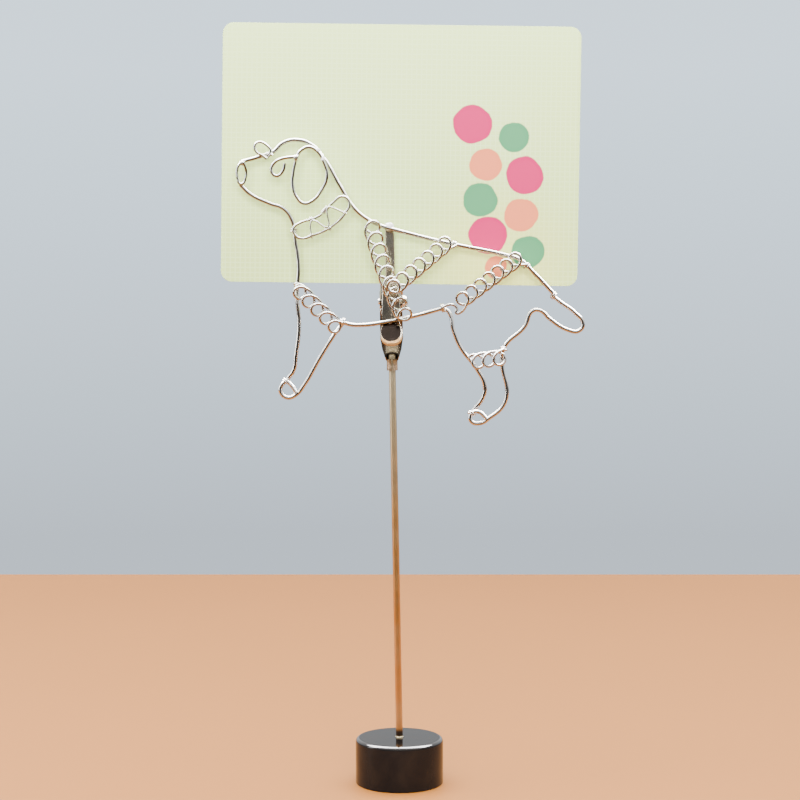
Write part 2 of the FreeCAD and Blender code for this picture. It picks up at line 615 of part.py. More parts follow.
BACKWARD = Rotation(V(1, 0, 0), -90)
ALONG_BELLY = Rotation(V(0, 1, 0), 84)
TIP_SPOT = (-0.2, -0.8, size("jaw_reach"))
FACE_SPOT = (-2.4, 0.45, -6.9)
EAR_SPOTS = {"ear_upper": (-23.7, -1.5, 51.3), "ear_lower": (-21.9, -1.5, 48.4)}
label(lump("tip", TIP_SPOT, "tip_solder_radius", "tip_solder_depth", BACKWARD,
           ["back_wire", "clip_front_jaw"]), "tip_solder", Placement())
label(lump("face", FACE_SPOT, "face_solder_radius", "face_solder_length", ALONG_BELLY,
           ["belly_wire", "clip_front_jaw"]), "face_solder", Placement())
lumps = doc.addObject("Part::Compound", "ear_lumps")
lumps.Links = [lump(name, spot, "ear_solder_radius", "ear_solder_depth", BACKWARD,
                    ["back_wire", "ear_wire"]) for name, spot in EAR_SPOTS.items()]
label(lumps, "ear_solder", Placement())

# Check every object, then write each sub-part to its own file
doc.recompute()
for thing in doc.Objects:
    if "Invalid" in thing.State or "Error" in thing.State:
        raise RuntimeError("%s did not build: %s" % (thing.Name, thing.State))
for node, thing in NODES.items():
    if thing.Shape.isNull() or not thing.Shape.isValid():
        raise RuntimeError("%s has no valid shape" % node)

os.makedirs("parts", exist_ok=True)
for node, thing in NODES.items():
    thing.Shape.exportStep("parts/%s.step" % node)
    print("%-18s %d solid(s), %9.2f mm3" % (node, len(thing.Shape.Solids), thing.Shape.Volume))
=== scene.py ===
import json
import math
import bpy
from mathutils import Matrix, Vector

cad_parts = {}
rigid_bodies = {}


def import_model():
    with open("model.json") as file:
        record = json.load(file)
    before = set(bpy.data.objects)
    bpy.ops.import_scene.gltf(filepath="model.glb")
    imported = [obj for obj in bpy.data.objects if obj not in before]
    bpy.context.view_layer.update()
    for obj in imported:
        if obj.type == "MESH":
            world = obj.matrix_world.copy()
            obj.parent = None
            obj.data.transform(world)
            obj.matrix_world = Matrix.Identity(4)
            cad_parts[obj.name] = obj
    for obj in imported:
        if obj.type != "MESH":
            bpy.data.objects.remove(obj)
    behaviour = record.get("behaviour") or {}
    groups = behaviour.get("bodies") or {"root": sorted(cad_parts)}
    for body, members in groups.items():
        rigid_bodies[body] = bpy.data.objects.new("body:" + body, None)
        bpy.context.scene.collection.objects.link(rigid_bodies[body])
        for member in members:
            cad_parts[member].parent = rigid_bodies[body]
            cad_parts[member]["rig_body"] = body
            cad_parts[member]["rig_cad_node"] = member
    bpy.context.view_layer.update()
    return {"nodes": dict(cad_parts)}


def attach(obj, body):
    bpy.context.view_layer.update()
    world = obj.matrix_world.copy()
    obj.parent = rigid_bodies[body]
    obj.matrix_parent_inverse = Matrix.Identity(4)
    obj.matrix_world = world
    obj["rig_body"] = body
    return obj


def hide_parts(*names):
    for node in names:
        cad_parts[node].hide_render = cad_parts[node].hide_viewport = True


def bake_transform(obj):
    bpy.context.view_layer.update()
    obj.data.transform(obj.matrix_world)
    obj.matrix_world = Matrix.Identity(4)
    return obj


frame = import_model()
nodes = frame["nodes"]


# Round weight. A turned steel disc, 30.6 mm across and 15.9 mm high, with a rounded
# upper rim, a short bore for the rod and a broken lower edge. It is dipped in
# gloss black lacquer, which gathers faint swirls from handling.
WEIGHT_RADIUS = 0.01529
WEIGHT_HEIGHT = 0.01585
WEIGHT_RIM = 0.0014
WEIGHT_FOOT = 0.0004
BORE_RADIUS = 0.00125
BORE_DEPTH = 0.003
RIM_LOOP = 0.0004
BORE_LOOP = 0.0002
NEAR = 1e-5


def clear():
    """Leave edit mode with nothing selected, so that a new piece starts alone."""
    if bpy.context.mode != "OBJECT":
        bpy.ops.object.mode_set(mode="OBJECT")
    bpy.ops.object.select_all(action="DESELECT")


def only(piece):
    """Leave edit mode and make one piece the only selected and active object."""
    clear()
    piece.select_set(True)
    bpy.context.view_layer.objects.active = piece


def pick_faces(piece, wanted):
    """Enter edit mode with the faces selected whose middle and normal fit."""
    only(piece)
    bpy.ops.object.mode_set(mode="EDIT")
    bpy.ops.mesh.select_mode(type="FACE")
    bpy.ops.mesh.select_all(action="DESELECT")
    bpy.ops.object.mode_set(mode="OBJECT")
    for face in piece.data.polygons:
        face.select = wanted(face.center, face.normal)
    bpy.ops.object.mode_set(mode="EDIT")


def pick_edges(piece, wanted):
    """Enter edit mode with the edges selected whose two ends fit."""
    only(piece)
    bpy.ops.object.mode_set(mode="EDIT")
    bpy.ops.mesh.select_mode(type="EDGE")
    bpy.ops.mesh.select_all(action="DESELECT")
    bpy.ops.object.mode_set(mode="OBJECT")
    spots = piece.data.vertices
    for edge in piece.data.edges:
        first, last = (spots[i].co for i in edge.vertices)
        edge.select = wanted(first, last)
    bpy.ops.object.mode_set(mode="EDIT")


def shape_done(piece, angle=35):
    """Leave edit mode, turn faces outwards and smooth all but real edges."""
    only(piece)
    bpy.ops.object.mode_set(mode="EDIT")
    bpy.ops.mesh.select_all(action="SELECT")
    bpy.ops.mesh.remove_doubles(threshold=1e-7)
    bpy.ops.mesh.normals_make_consistent(inside=False)
    bpy.ops.object.mode_set(mode="OBJECT")
    bpy.ops.object.shade_smooth_by_angle(angle=math.radians(angle))


def put(piece, place):
    """Move a piece made about the origin to its place, which goes in its mesh."""
    piece.matrix_world = place @ piece.matrix_world
    only(piece)
    bpy.ops.object.transform_apply(location=True, rotation=True, scale=True)


def cylinder(radius, depth, middle=0.0, sides=48):
    """An upright cylinder on the axis, with its middle at a height."""
    clear()
    bpy.ops.mesh.primitive_cylinder_add(vertices=sides, radius=radius, depth=depth,
                                        location=(0, 0, middle))
    made = bpy.context.object
    put(made, Matrix())
    return made


def round_off(piece, wanted, offset, segments):
    """Bevel the edges of a piece whose two ends fit, and stay in edit mode."""
    pick_edges(piece, wanted)
    bpy.ops.mesh.bevel(offset=offset, segments=segments, profile=0.5)


def hand_over(piece, name, finish, slot, body, *stands_for):
    """Name a finished piece, give it its finish, attach it to its body and hide the nodes it
    stands for.
    """
    piece.name = name
    piece.data.materials.clear()
    piece.data.materials.append(finish)
    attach(piece, body)
    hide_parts(*stands_for)


def new_finish(name, **values):
    """A material with its shader's fixed values set on the sockets."""
    finish = bpy.data.materials.new(name)
    finish.use_nodes = True
    shader = finish.node_tree.nodes["Principled BSDF"]
    for socket, value in values.items():
        shader.inputs[socket.replace("_", " ")].default_value = value
    return finish, finish.node_tree, shader


def node(tree, kind, **values):
    """A node with its properties and unlinked inputs set by name."""
    made = tree.nodes.new("ShaderNode" + kind)
    for key, value in values.items():
        if key in made.bl_rna.properties:
            setattr(made, key, value)
        else:
            made.inputs[key.replace("_", " ")].default_value = value
    return made


def link(tree, giver, output, taker, entry):
    """Join one node's output to another's input, both by name or number."""
    tree.links.new(giver.outputs[output], taker.inputs[entry])


def slope(tree, start, end, most=1.0):
    """A smooth change from nothing at one value to the most at another."""
    return node(tree, "MapRange", interpolation_type="SMOOTHSTEP", From_Min=start,
                From_Max=end, To_Max=most)


def effect(name, inputs, outputs):
    """An empty node group with named inputs and outputs."""
    group = bpy.data.node_groups.new(name, "ShaderNodeTree")
    for label, kind in inputs:
        group.interface.new_socket(label, in_out="INPUT", socket_type="NodeSocket" + kind)
    for label, kind in outputs:
        group.interface.new_socket(label, in_out="OUTPUT", socket_type="NodeSocket" + kind)
    return group, group.nodes.new("NodeGroupInput"), group.nodes.new("NodeGroupOutput")


def use(tree, group, **values):
    """A node group placed in a tree, with its unlinked inputs set by name."""
    placed = tree.nodes.new("ShaderNodeGroup")
    placed.node_tree = group
    for key, value in values.items():
        placed.inputs[key.replace("_", " ")].default_value = value
    return placed


# Handling marks: cloudy patches where a polished surface has been touched
marks, into, out = effect("Handling marks",
                          [("Vector", "Vector"), ("Scale", "Float"), ("Clean", "Float"),
                           ("Touched", "Float")],
                          [("Roughness", "Float"), ("Mask", "Float")])
cloud = node(marks, "TexNoise", Detail=4.0, Roughness=0.6, Distortion=0.6)
spread = node(marks, "MapRange", From_Min=0.38, From_Max=0.68)
level = node(marks, "MapRange")
link(marks, into, "Vector", cloud, "Vector")
link(marks, into, "Scale", cloud, "Scale")
link(marks, cloud, "Fac", spread, "Value")
link(marks, spread, "Result", level, "Value")
link(marks, into, "Clean", level, "To Min")
link(marks, into, "Touched", level, "To Max")
link(marks, level, "Result", out, "Roughness")
link(marks, spread, "Result", out, "Mask")

# Fine grain: height of a close, irregular surface, for a bump
grain, into, out = effect("Fine grain",
                          [("Vector", "Vector"), ("Scale", "Float")], [("Height", "Float")])
speck = node(grain, "TexNoise", Detail=3.0, Roughness=0.55)
link(grain, into, "Vector", speck, "Vector")
link(grain, into, "Scale", speck, "Scale")
link(grain, speck, "Fac", out, "Height")


def add_grain(tree, shader, vector, scale, strength, distance):
    """Give a finish a fine bump from the grain group."""
    fine = use(tree, grain, Scale=scale)
    bump = node(tree, "Bump", Strength=strength, Distance=distance)
    tree.links.new(vector, fine.inputs["Vector"])
    link(tree, fine, "Height", bump, "Height")
    link(tree, bump, "Normal", shader, "Normal")


lacquer, tree, shader = new_finish("black_lacquer_gloss", IOR=1.20, Coat_Roughness=0.03,
                                   Coat_IOR=1.62)
where = node(tree, "TexCoord")
touch = use(tree, marks, Scale=90.0, Clean=0.05, Touched=0.14)
tint = node(tree, "MixRGB", Color1=(0.0044, 0.0040, 0.0042, 1),
            Color2=(0.0088, 0.0066, 0.0055, 1))
axes = node(tree, "SeparateXYZ")
plan = node(tree, "CombineXYZ")
reach = node(tree, "VectorMath", operation="LENGTH")
near_top = slope(tree, WEIGHT_HEIGHT - 0.8 * WEIGHT_RIM, WEIGHT_HEIGHT - 0.4 * WEIGHT_RIM)
near_side = slope(tree, WEIGHT_RADIUS - WEIGHT_RIM, WEIGHT_RADIUS - 0.6 * WEIGHT_RIM)
buffed = node(tree, "Math", operation="MULTIPLY")
for axis in "XY":
    link(tree, axes, axis, plan, axis)
link(tree, where, "Object", axes, "Vector")
link(tree, plan, "Vector", reach, 0)
link(tree, axes, "Z", near_top, "Value")
link(tree, reach, "Value", near_side, "Value")
link(tree, near_top, "Result", buffed, 0)
link(tree, near_side, "Result", buffed, 1)
link(tree, where, "Object", touch, "Vector")
link(tree, touch, "Roughness", shader, "Roughness")
link(tree, touch, "Mask", tint, "Fac")
link(tree, tint, "Color", shader, "Base Color")
link(tree, buffed, 0, shader, "Coat Weight")
add_grain(tree, shader, where.outputs["Object"], 420.0, 0.05, 0.00005)

weight = cylinder(WEIGHT_RADIUS, WEIGHT_HEIGHT, WEIGHT_HEIGHT / 2, sides=144)
round_off(weight, lambda a, b: min(a.z, b.z) > WEIGHT_HEIGHT - NEAR, WEIGHT_RIM, 6)
round_off(weight, lambda a, b: max(a.z, b.z) < NEAR, WEIGHT_FOOT, 3)
pick_faces(weight, lambda spot, normal: normal.z > 0.999 and spot.z > WEIGHT_HEIGHT - NEAR)
bpy.ops.mesh.inset(thickness=RIM_LOOP)
bpy.ops.mesh.inset(thickness=WEIGHT_RADIUS - WEIGHT_RIM - RIM_LOOP - BORE_RADIUS - BORE_LOOP)
bpy.ops.mesh.inset(thickness=BORE_LOOP)
bpy.ops.mesh.extrude_region_move(TRANSFORM_OT_translate={"value": (0, 0, -BORE_DEPTH)})
pick_faces(weight, lambda spot, normal: normal.z < -0.999 and spot.z < NEAR)
bpy.ops.mesh.inset(thickness=RIM_LOOP)
shape_done(weight, 30)
hand_over(weight, "round_weight", lacquer, "black_lacquer", "stand", "base_weight")


# Rod. Bright drawn steel wire, 2.4 mm thick, pressed into the weight and leaning
# a little to the left. A thin ring is rolled round it where it meets the top of the
# weight. Its lower part is coloured warm, a painted reflection of the table, and a band
# just above the ring is coloured darker.
ROD_RADIUS = 0.0012
ROD_REACH = 0.1336
ROD_SHANK = 0.0024
ROD_TIP = 0.0007
RING_OUTER = 0.00141
RING_WIRE = 0.00011
RING_LIFT = 0.00002
LEAN = math.radians(1.1)
STEM = Matrix.Translation((0, 0, WEIGHT_HEIGHT)) @ Matrix.Rotation(-LEAN, 4, "Y")


def joined(main, *others):
    """The first piece with the others' meshes added to its own."""
    only(main)
    for other in others:
        other.select_set(True)
    bpy.ops.object.join()
    return main


# Tarnish and painted light: a clean metal colour that turns to a warmer or darker one
# where a second mask says so, in uneven patches. Where handling marks drive it, it is
# tarnish; on the rod it is a painted reflection of the table and on the wires painted shade.
tarnish_and_painted_light, into, out = effect("Tarnish and painted light",
                            [("Vector", "Vector"), ("Scale", "Float"), ("Where", "Float"),
                             ("Bright", "Color"), ("Warm", "Color")], [("Color", "Color")])
cloud = node(tarnish_and_painted_light, "TexNoise", Detail=3.0, Roughness=0.6)
uneven = node(tarnish_and_painted_light, "MapRange", From_Min=0.3, From_Max=0.7, To_Min=0.55, To_Max=1.0)
share = node(tarnish_and_painted_light, "Math", operation="MULTIPLY", use_clamp=True)
mix = node(tarnish_and_painted_light, "MixRGB")
link(tarnish_and_painted_light, into, "Vector", cloud, "Vector")
link(tarnish_and_painted_light, into, "Scale", cloud, "Scale")
link(tarnish_and_painted_light, cloud, "Fac", uneven, "Value")
link(tarnish_and_painted_light, uneven, "Result", share, 0)
link(tarnish_and_painted_light, into, "Where", share, 1)
link(tarnish_and_painted_light, share, 0, mix, "Fac")
link(tarnish_and_painted_light, into, "Bright", mix, "Color1")
link(tarnish_and_painted_light, into, "Warm", mix, "Color2")
link(tarnish_and_painted_light, mix, "Color", out, "Color")

rod_steel, tree, shader = new_finish("drawn_rod_steel", Metallic=0.87, IOR=1.15)
where = node(tree, "TexCoord")
height = node(tree, "SeparateXYZ")
# Painted reflection: the lower part is coloured warm, standing in for the table's reflection
low = slope(tree, 0.150, 0.078)
hue = use(tree, tarnish_and_painted_light, Scale=60.0, Bright=(0.41, 0.345, 0.215, 1),
          Warm=(0.395, 0.166, 0.032, 1))
touch = use(tree, marks, Scale=160.0, Clean=0.30, Touched=0.42)
above_ring = slope(tree, WEIGHT_HEIGHT + 0.0004, WEIGHT_HEIGHT + 0.0007)
table_reflection_mask = node(tree, "Math", operation="MULTIPLY")
# Coloured darker in a band just above the ring
foot = slope(tree, WEIGHT_HEIGHT + 0.0036, WEIGHT_HEIGHT + 0.0018)
dark_foot_mask = node(tree, "Math", operation="MULTIPLY")
dark_foot_band = node(tree, "MixRGB", Color2=(0.045, 0.030, 0.020, 1))
link(tree, height, "Z", foot, "Value")
link(tree, foot, "Result", dark_foot_mask, 0)
link(tree, above_ring, "Result", dark_foot_mask, 1)
link(tree, dark_foot_mask, 0, dark_foot_band, "Fac")
link(tree, where, "Object", height, "Vector")
link(tree, height, "Z", low, "Value")
link(tree, height, "Z", above_ring, "Value")
link(tree, low, "Result", table_reflection_mask, 0)
link(tree, above_ring, "Result", table_reflection_mask, 1)
link(tree, table_reflection_mask, 0, hue, "Where")
for placed in (hue, touch):
    link(tree, where, "Object", placed, "Vector")
link(tree, hue, "Color", dark_foot_band, "Color1")
link(tree, dark_foot_band, "Color", shader, "Base Color")
link(tree, touch, "Roughness", shader, "Roughness")
drawn = node(tree, "Mapping", Scale=(1.0, 1.0, 0.02))
link(tree, where, "Object", drawn, "Vector")
add_grain(tree, shader, drawn.outputs["Vector"], 2600.0, 0.12, 0.00004)

rod = cylinder(ROD_RADIUS, ROD_REACH + ROD_SHANK, (ROD_REACH - ROD_SHANK) / 2)
round_off(rod, lambda a, b: min(a.z, b.z) > ROD_REACH - NEAR, ROD_TIP, 6)
clear()
bpy.ops.mesh.primitive_torus_add(major_segments=64, minor_segments=14,
                                 major_radius=RING_OUTER - RING_WIRE, minor_radius=RING_WIRE,
                                 location=(0, 0, RING_WIRE + RING_LIFT))
joined(rod, bpy.context.object)
shape_done(rod, 40)
put(rod, STEM)
hand_over(rod, "leaning_rod", rod_steel, "drawn_steel", "stand", "stem_rod")


# Clip jaws. Each is one pressing of 0.5 mm sheet steel, nickel plated: a channel
# with saw teeth along its closing edges. The back jaw's open tail is squeezed
# round the top of the rod, the front jaw's tail is bent out as a thumb tab.
CLIP_FORWARD = 0.0047
CLIP_ABOVE_ROD = 0.0182
CLIP = STEM @ Matrix.Translation((0, -CLIP_FORWARD, ROD_REACH + CLIP_ABOVE_ROD))
SHEET_EDGE = 0.00012
FOLD = 0.0005
FOLD_SLACK = 0.12
CORNER = 1.2
LONG_EDGE = 0.0015
OVAL_MIDDLE = (-0.0002, -0.0071, -0.0103)
OVAL_SIZE = (0.0036, 0.0048, 0.0036)
MM = 0.001
to_clip = CLIP.inverted()


def on_fold(spot, side):
    """True for a point on the outside corner where a jaw's wall is folded."""
    x, y, z = to_clip @ spot / MM
    # How far the pressing's back lies from the clip's middle, in millimetres: it
    # widens from the tip to the ears, again behind the rivet, and then runs straight
    along_jaw = 2.9 + 0.06056 * (25.2 - z)
    behind_pin = 4.95 + 0.1611 * (-1 - z)
    if side < 0:
        return -y > along_jaw - FOLD_SLACK and z > -7.2 and abs(x) > CORNER
    back = along_jaw if z > -1.1 else behind_pin if z > -10.1 else 6.4
    return y > back - FOLD_SLACK and abs(x) > CORNER


def round_edges(piece, width, segments, degrees, miter="MITER_SHARP"):
    """Bevel every edge of a piece that is sharper than an angle."""
    only(piece)
    cut = piece.modifiers.new("cut", "BEVEL")
    cut.width, cut.segments = width, segments
    cut.limit_method = "ANGLE"
    cut.angle_limit = math.radians(degrees)
    cut.miter_outer = miter
    bpy.ops.object.modifier_apply(modifier="cut")


def refined(source, fold):
    """A merged copy of a solid of the stand, with its folds and edges softened."""
    only(nodes[source])
    bpy.ops.object.duplicate()
    piece = bpy.context.object
    piece.parent = None
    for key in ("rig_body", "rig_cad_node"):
        del piece[key]
    bpy.ops.mesh.customdata_custom_splitnormals_clear()
    bpy.ops.object.mode_set(mode="EDIT")
    bpy.ops.mesh.select_all(action="SELECT")
    bpy.ops.mesh.remove_doubles(threshold=2e-6)
    bpy.ops.mesh.dissolve_limited(angle_limit=math.radians(2))
    round_off(piece, fold, FOLD, 4)
    round_edges(piece, SHEET_EDGE, 2, 28, "MITER_ARC")
    shape_done(piece, 40)
    flatten = piece.modifiers.new("flatten", "WEIGHTED_NORMAL")
    flatten.keep_sharp = True
    bpy.ops.object.modifier_apply(modifier="flatten")
    return piece


nickel, tree, shader = new_finish("nickel_plated_sheet", Metallic=1.0)
where = node(tree, "TexCoord")
touch = use(tree, marks, Scale=240.0, Clean=0.14, Touched=0.30)
hue = use(tree, tarnish_and_painted_light, Scale=300.0, Bright=(0.56, 0.52, 0.44, 1), Warm=(0.36, 0.27, 0.17, 1))
for placed in (hue, touch):
    link(tree, where, "Object", placed, "Vector")
# The tab's hollow is painted dark in an oval, a painted reflection of the dark space in
# front, and the rim below it is painted warm, a painted reflection of the table. The
# socket squeezed on the rod shows the warm metal where its plating is worn.
in_clip = node(tree, "Mapping", Location=to_clip.to_translation(),
               Rotation=to_clip.to_euler())
axes = node(tree, "SeparateXYZ")
# Painted reflection: a dark oval on the tab's hollow
oval = node(tree, "Mapping", vector_type="TEXTURE", Location=OVAL_MIDDLE, Scale=OVAL_SIZE)
from_tab = node(tree, "VectorMath", operation="LENGTH")
tab_reflection_mask = slope(tree, 1.0, 0.94)
painted_tab_reflection = node(tree, "MixRGB", Color2=(0.038, 0.028, 0.023, 1))
# Painted reflection: the tab's rim is coloured warm like the table; the socket is worn warm
# metal
below = slope(tree, -0.0112, -0.0130)
before = slope(tree, -0.0062, -0.0068)
lip = node(tree, "Math", operation="MULTIPLY")
rimmed = node(tree, "Math", operation="SUBTRACT", use_clamp=True)
socket = slope(tree, -0.0195, -0.0205, 0.65)
rim_reflection_and_socket_wear = node(tree, "Math", operation="MAXIMUM")
table_reflection_and_brass = node(tree, "MixRGB", Color2=(0.36, 0.200, 0.072, 1))
# Painted shade: dark mottling in the socket's crimp creases
dents = node(tree, "TexNoise", Scale=1500.0, Detail=1.0)
crease_shade_mask = slope(tree, 0.45, 0.54, 0.95)
on_socket = node(tree, "Math", operation="MULTIPLY")
painted_crease_shade = node(tree, "MixRGB", Color2=(0.085, 0.058, 0.036, 1))
# Painted shade: dark round the rod's end where it lies in the trough
round_end = node(tree, "Mapping", vector_type="TEXTURE", Location=(0, 0, -0.0194),
                 Scale=(0.0022, 1.0, 0.0022))
from_end = node(tree, "VectorMath", operation="LENGTH")
near_end = slope(tree, 1.08, 0.88)
gap_shade_mask = node(tree, "Math", operation="MULTIPLY")
painted_gap_shade = node(tree, "MixRGB", Color2=(0.060, 0.045, 0.032, 1))
metal = node(tree, "MapRange", To_Min=1.0, To_Max=0.5)
dull = node(tree, "MapRange", To_Max=0.55)
rougher = node(tree, "Math", operation="MAXIMUM")
across = node(tree, "Math", operation="ABSOLUTE")
# Painted light: the trough's floor is coloured pale and less metallic, where it would mirror
# the dark front
middle = slope(tree, 0.0032, 0.0009)
above_rod = slope(tree, -0.0182, -0.0176)
floor = node(tree, "Math", operation="MULTIPLY")
painted_floor_light = node(tree, "MixRGB", Color2=(0.45, 0.365, 0.205, 1))
behind = node(tree, "Math", operation="SUBTRACT", use_clamp=True)
hollow = node(tree, "Math", operation="MULTIPLY")
inside = slope(tree, 0.00625, 0.00605)
floor_light_mask = node(tree, "Math", operation="MULTIPLY")
less_metallic_mask = node(tree, "Math", operation="MAXIMUM")
link(tree, where, "Object", in_clip, "Vector")
link(tree, in_clip, "Vector", axes, "Vector")
link(tree, in_clip, "Vector", oval, "Vector")
link(tree, oval, "Vector", from_tab, 0)
link(tree, from_tab, "Value", tab_reflection_mask, "Value")
link(tree, axes, "Z", below, "Value")
link(tree, axes, "Y", before, "Value")
link(tree, below, "Result", lip, 0)
link(tree, before, "Result", lip, 1)
link(tree, lip, 0, rimmed, 0)
link(tree, tab_reflection_mask, "Result", rimmed, 1)
link(tree, axes, "Z", socket, "Value")
link(tree, rimmed, 0, rim_reflection_and_socket_wear, 0)
link(tree, socket, "Result", rim_reflection_and_socket_wear, 1)
link(tree, touch, "Mask", hue, "Where")
link(tree, axes, "X", across, 0)
link(tree, across, 0, middle, "Value")
link(tree, axes, "Z", above_rod, "Value")
link(tree, below, "Result", behind, 0)
link(tree, before, "Result", behind, 1)
link(tree, middle, "Result", floor, 0)
link(tree, above_rod, "Result", floor, 1)
link(tree, floor, 0, hollow, 0)
link(tree, behind, 0, hollow, 1)
link(tree, axes, "Y", inside, "Value")
link(tree, hollow, 0, floor_light_mask, 0)
link(tree, inside, "Result", floor_light_mask, 1)
link(tree, floor_light_mask, 0, painted_floor_light, "Fac")
link(tree, hue, "Color", painted_floor_light, "Color1")
link(tree, in_clip, "Vector", round_end, "Vector")
link(tree, round_end, "Vector", from_end, 0)
link(tree, from_end, "Value", near_end, "Value")
link(tree, near_end, "Result", gap_shade_mask, 0)
link(tree, inside, "Result", gap_shade_mask, 1)
link(tree, gap_shade_mask, 0, painted_gap_shade, "Fac")
link(tree, painted_floor_light, "Color", painted_gap_shade, "Color1")
link(tree, painted_gap_shade, "Color", table_reflection_and_brass, "Color1")
link(tree, rim_reflection_and_socket_wear, 0, table_reflection_and_brass, "Fac")
link(tree, rim_reflection_and_socket_wear, 0, less_metallic_mask, 0)
link(tree, floor_light_mask, 0, less_metallic_mask, 1)
link(tree, less_metallic_mask, 0, metal, "Value")
link(tree, rim_reflection_and_socket_wear, 0, dull, "Value")
link(tree, dull, "Result", rougher, 0)
link(tree, touch, "Roughness", rougher, 1)
link(tree, in_clip, "Vector", dents, "Vector")
link(tree, dents, "Fac", crease_shade_mask, "Value")
link(tree, crease_shade_mask, "Result", on_socket, 0)
link(tree, socket, "Result", on_socket, 1)
link(tree, on_socket, 0, painted_crease_shade, "Fac")
link(tree, table_reflection_and_brass, "Color", painted_crease_shade, "Color1")
link(tree, painted_crease_shade, "Color", painted_tab_reflection, "Color1")
link(tree, tab_reflection_mask, "Result", painted_tab_reflection, "Fac")
link(tree, painted_tab_reflection, "Color", shader, "Base Color")
link(tree, metal, "Result", shader, "Metallic")
link(tree, rougher, 0, shader, "Roughness")
rolled = node(tree, "Mapping", Scale=(1.0, 1.0, 0.12))
link(tree, where, "Object", rolled, "Vector")
add_grain(tree, shader, rolled.outputs["Vector"], 2400.0, 0.18, 0.00005)


def long_fold(side):
    """A test for the long edges along the folds of one jaw."""
    return lambda a, b: (b - a).length > LONG_EDGE and on_fold(a, side) and on_fold(b, side)


back_jaw = refined("clip_back_jaw", long_fold(1))
hand_over(back_jaw, "back_jaw", nickel, "nickel_sheet", "stand", "clip_back_jaw")
front_jaw = refined("clip_front_jaw", long_fold(-1))

# The thumb tab's edge is rolled forward into a rim, deepest at the bottom
RIM_RIGHT = [(2.6, -4.8, -7.1), (3.1, -5.5, -8.5), (3.4, -6.35, -10.1), (3.4, -7.1, -11.6),
             (2.95, -7.75, -13.0), (2.0, -8.3, -13.95), (0.9, -8.6, -14.35)]
RIM_RADIUS = 0.40
RIM_SWELL = [0.55, 0.6, 0.75, 1.0, 1.45, 1.8, 1.95]
CUT_END = 0.35


def bent_wire(points, place, radius, sides=5, pieces=6, swell=None):
    """One length of round wire bent through given points, in millimetres."""
    clear()
    bpy.ops.curve.primitive_bezier_curve_add()
    run = bpy.context.object
    line = run.data.splines[0]
    line.bezier_points.add(len(points) - 2)
    for knot, spot in zip(line.bezier_points, points):
        knot.co = place @ (Vector(spot) * MM)
        knot.handle_left_type = knot.handle_right_type = "AUTO"
    for knot, factor in zip(line.bezier_points, swell or []):
        knot.radius = factor
    run.data.dimensions = "3D"
    run.data.resolution_u = pieces
    run.data.bevel_depth = radius * MM
    run.data.bevel_resolution = sides
    run.data.use_fill_caps = True
    bpy.ops.object.convert(target="MESH")
    run = bpy.context.object
    round_edges(run, radius * MM * CUT_END, 3, 65)
    shape_done(run, 50)
    return run


rim_run = RIM_RIGHT + [(-x, y, z) for x, y, z in reversed(RIM_RIGHT)]
front_jaw = joined(front_jaw, bent_wire(rim_run, CLIP, RIM_RADIUS, sides=6, pieces=8,
                                        swell=RIM_SWELL + RIM_SWELL[::-1]))
hand_over(front_jaw, "front_jaw", nickel, "nickel_sheet", "front_jaw", "clip_front_jaw")


# Rivet. It is the clip's pin, of bright plated steel, 1.6 mm thick, with a domed
# head on the right and a small upset end on the left.
PIN_RADIUS = 0.0008
EAR_OUTSIDE = 0.00391
HEAD_RADIUS = 0.00205
HEAD_HEIGHT = 0.0019
HEAD_DOME = 0.00135
HEAD_EDGE = 0.0002
TAIL_RADIUS = 0.001
TAIL_HEIGHT = 0.0005
TAIL_EDGE = 0.00025
HEAD_TOP = EAR_OUTSIDE + HEAD_HEIGHT
TAIL_END = -EAR_OUTSIDE - TAIL_HEIGHT


def worn_metal(name, metallic, scale, clean, touched, hue_scale, bright, warm):
    """A metal whose handling marks are both rougher and warmer than the rest."""
    finish, tree, shader = new_finish(name, Metallic=metallic)
    where = node(tree, "TexCoord")
    touch = use(tree, marks, Scale=scale, Clean=clean, Touched=touched)
    hue = use(tree, tarnish_and_painted_light, Scale=hue_scale, Bright=bright, Warm=warm)
    link(tree, touch, "Mask", hue, "Where")
    for placed in (hue, touch):
        link(tree, where, "Object", placed, "Vector")
    link(tree, hue, "Color", shader, "Base Color")
    link(tree, touch, "Roughness", shader, "Roughness")
    return finish, tree, shader, where


rivet_metal, tree, shader, where = worn_metal(
    "bright_rivet", metallic=1.0, scale=500.0, clean=0.12, touched=0.26, hue_scale=500.0,
    bright=(0.80, 0.78, 0.74, 1), warm=(0.58, 0.47, 0.35, 1))
add_grain(tree, shader, where.outputs["Object"], 3000.0, 0.1, 0.00004)

rivet = cylinder(PIN_RADIUS, 2 * EAR_OUTSIDE, sides=40)
head = cylinder(HEAD_RADIUS, HEAD_HEIGHT, EAR_OUTSIDE + HEAD_HEIGHT / 2, sides=40)
round_off(head, lambda a, b: min(a.z, b.z) > HEAD_TOP - NEAR, HEAD_DOME, 8)
round_off(head, lambda a, b: max(a.z, b.z) < EAR_OUTSIDE + NEAR, HEAD_EDGE, 3)
tail = cylinder(TAIL_RADIUS, TAIL_HEIGHT, -EAR_OUTSIDE - TAIL_HEIGHT / 2, sides=32)
round_off(tail, lambda a, b: max(a.z, b.z) < TAIL_END + NEAR, TAIL_EDGE, 4)
joined(rivet, head, tail)
shape_done(rivet, 40)
put(rivet, CLIP @ Matrix.Rotation(math.radians(90), 4, "Y"))
hand_over(rivet, "jaw_rivet", rivet_metal, "nickel_rivet", "stand", "clip_rivet")


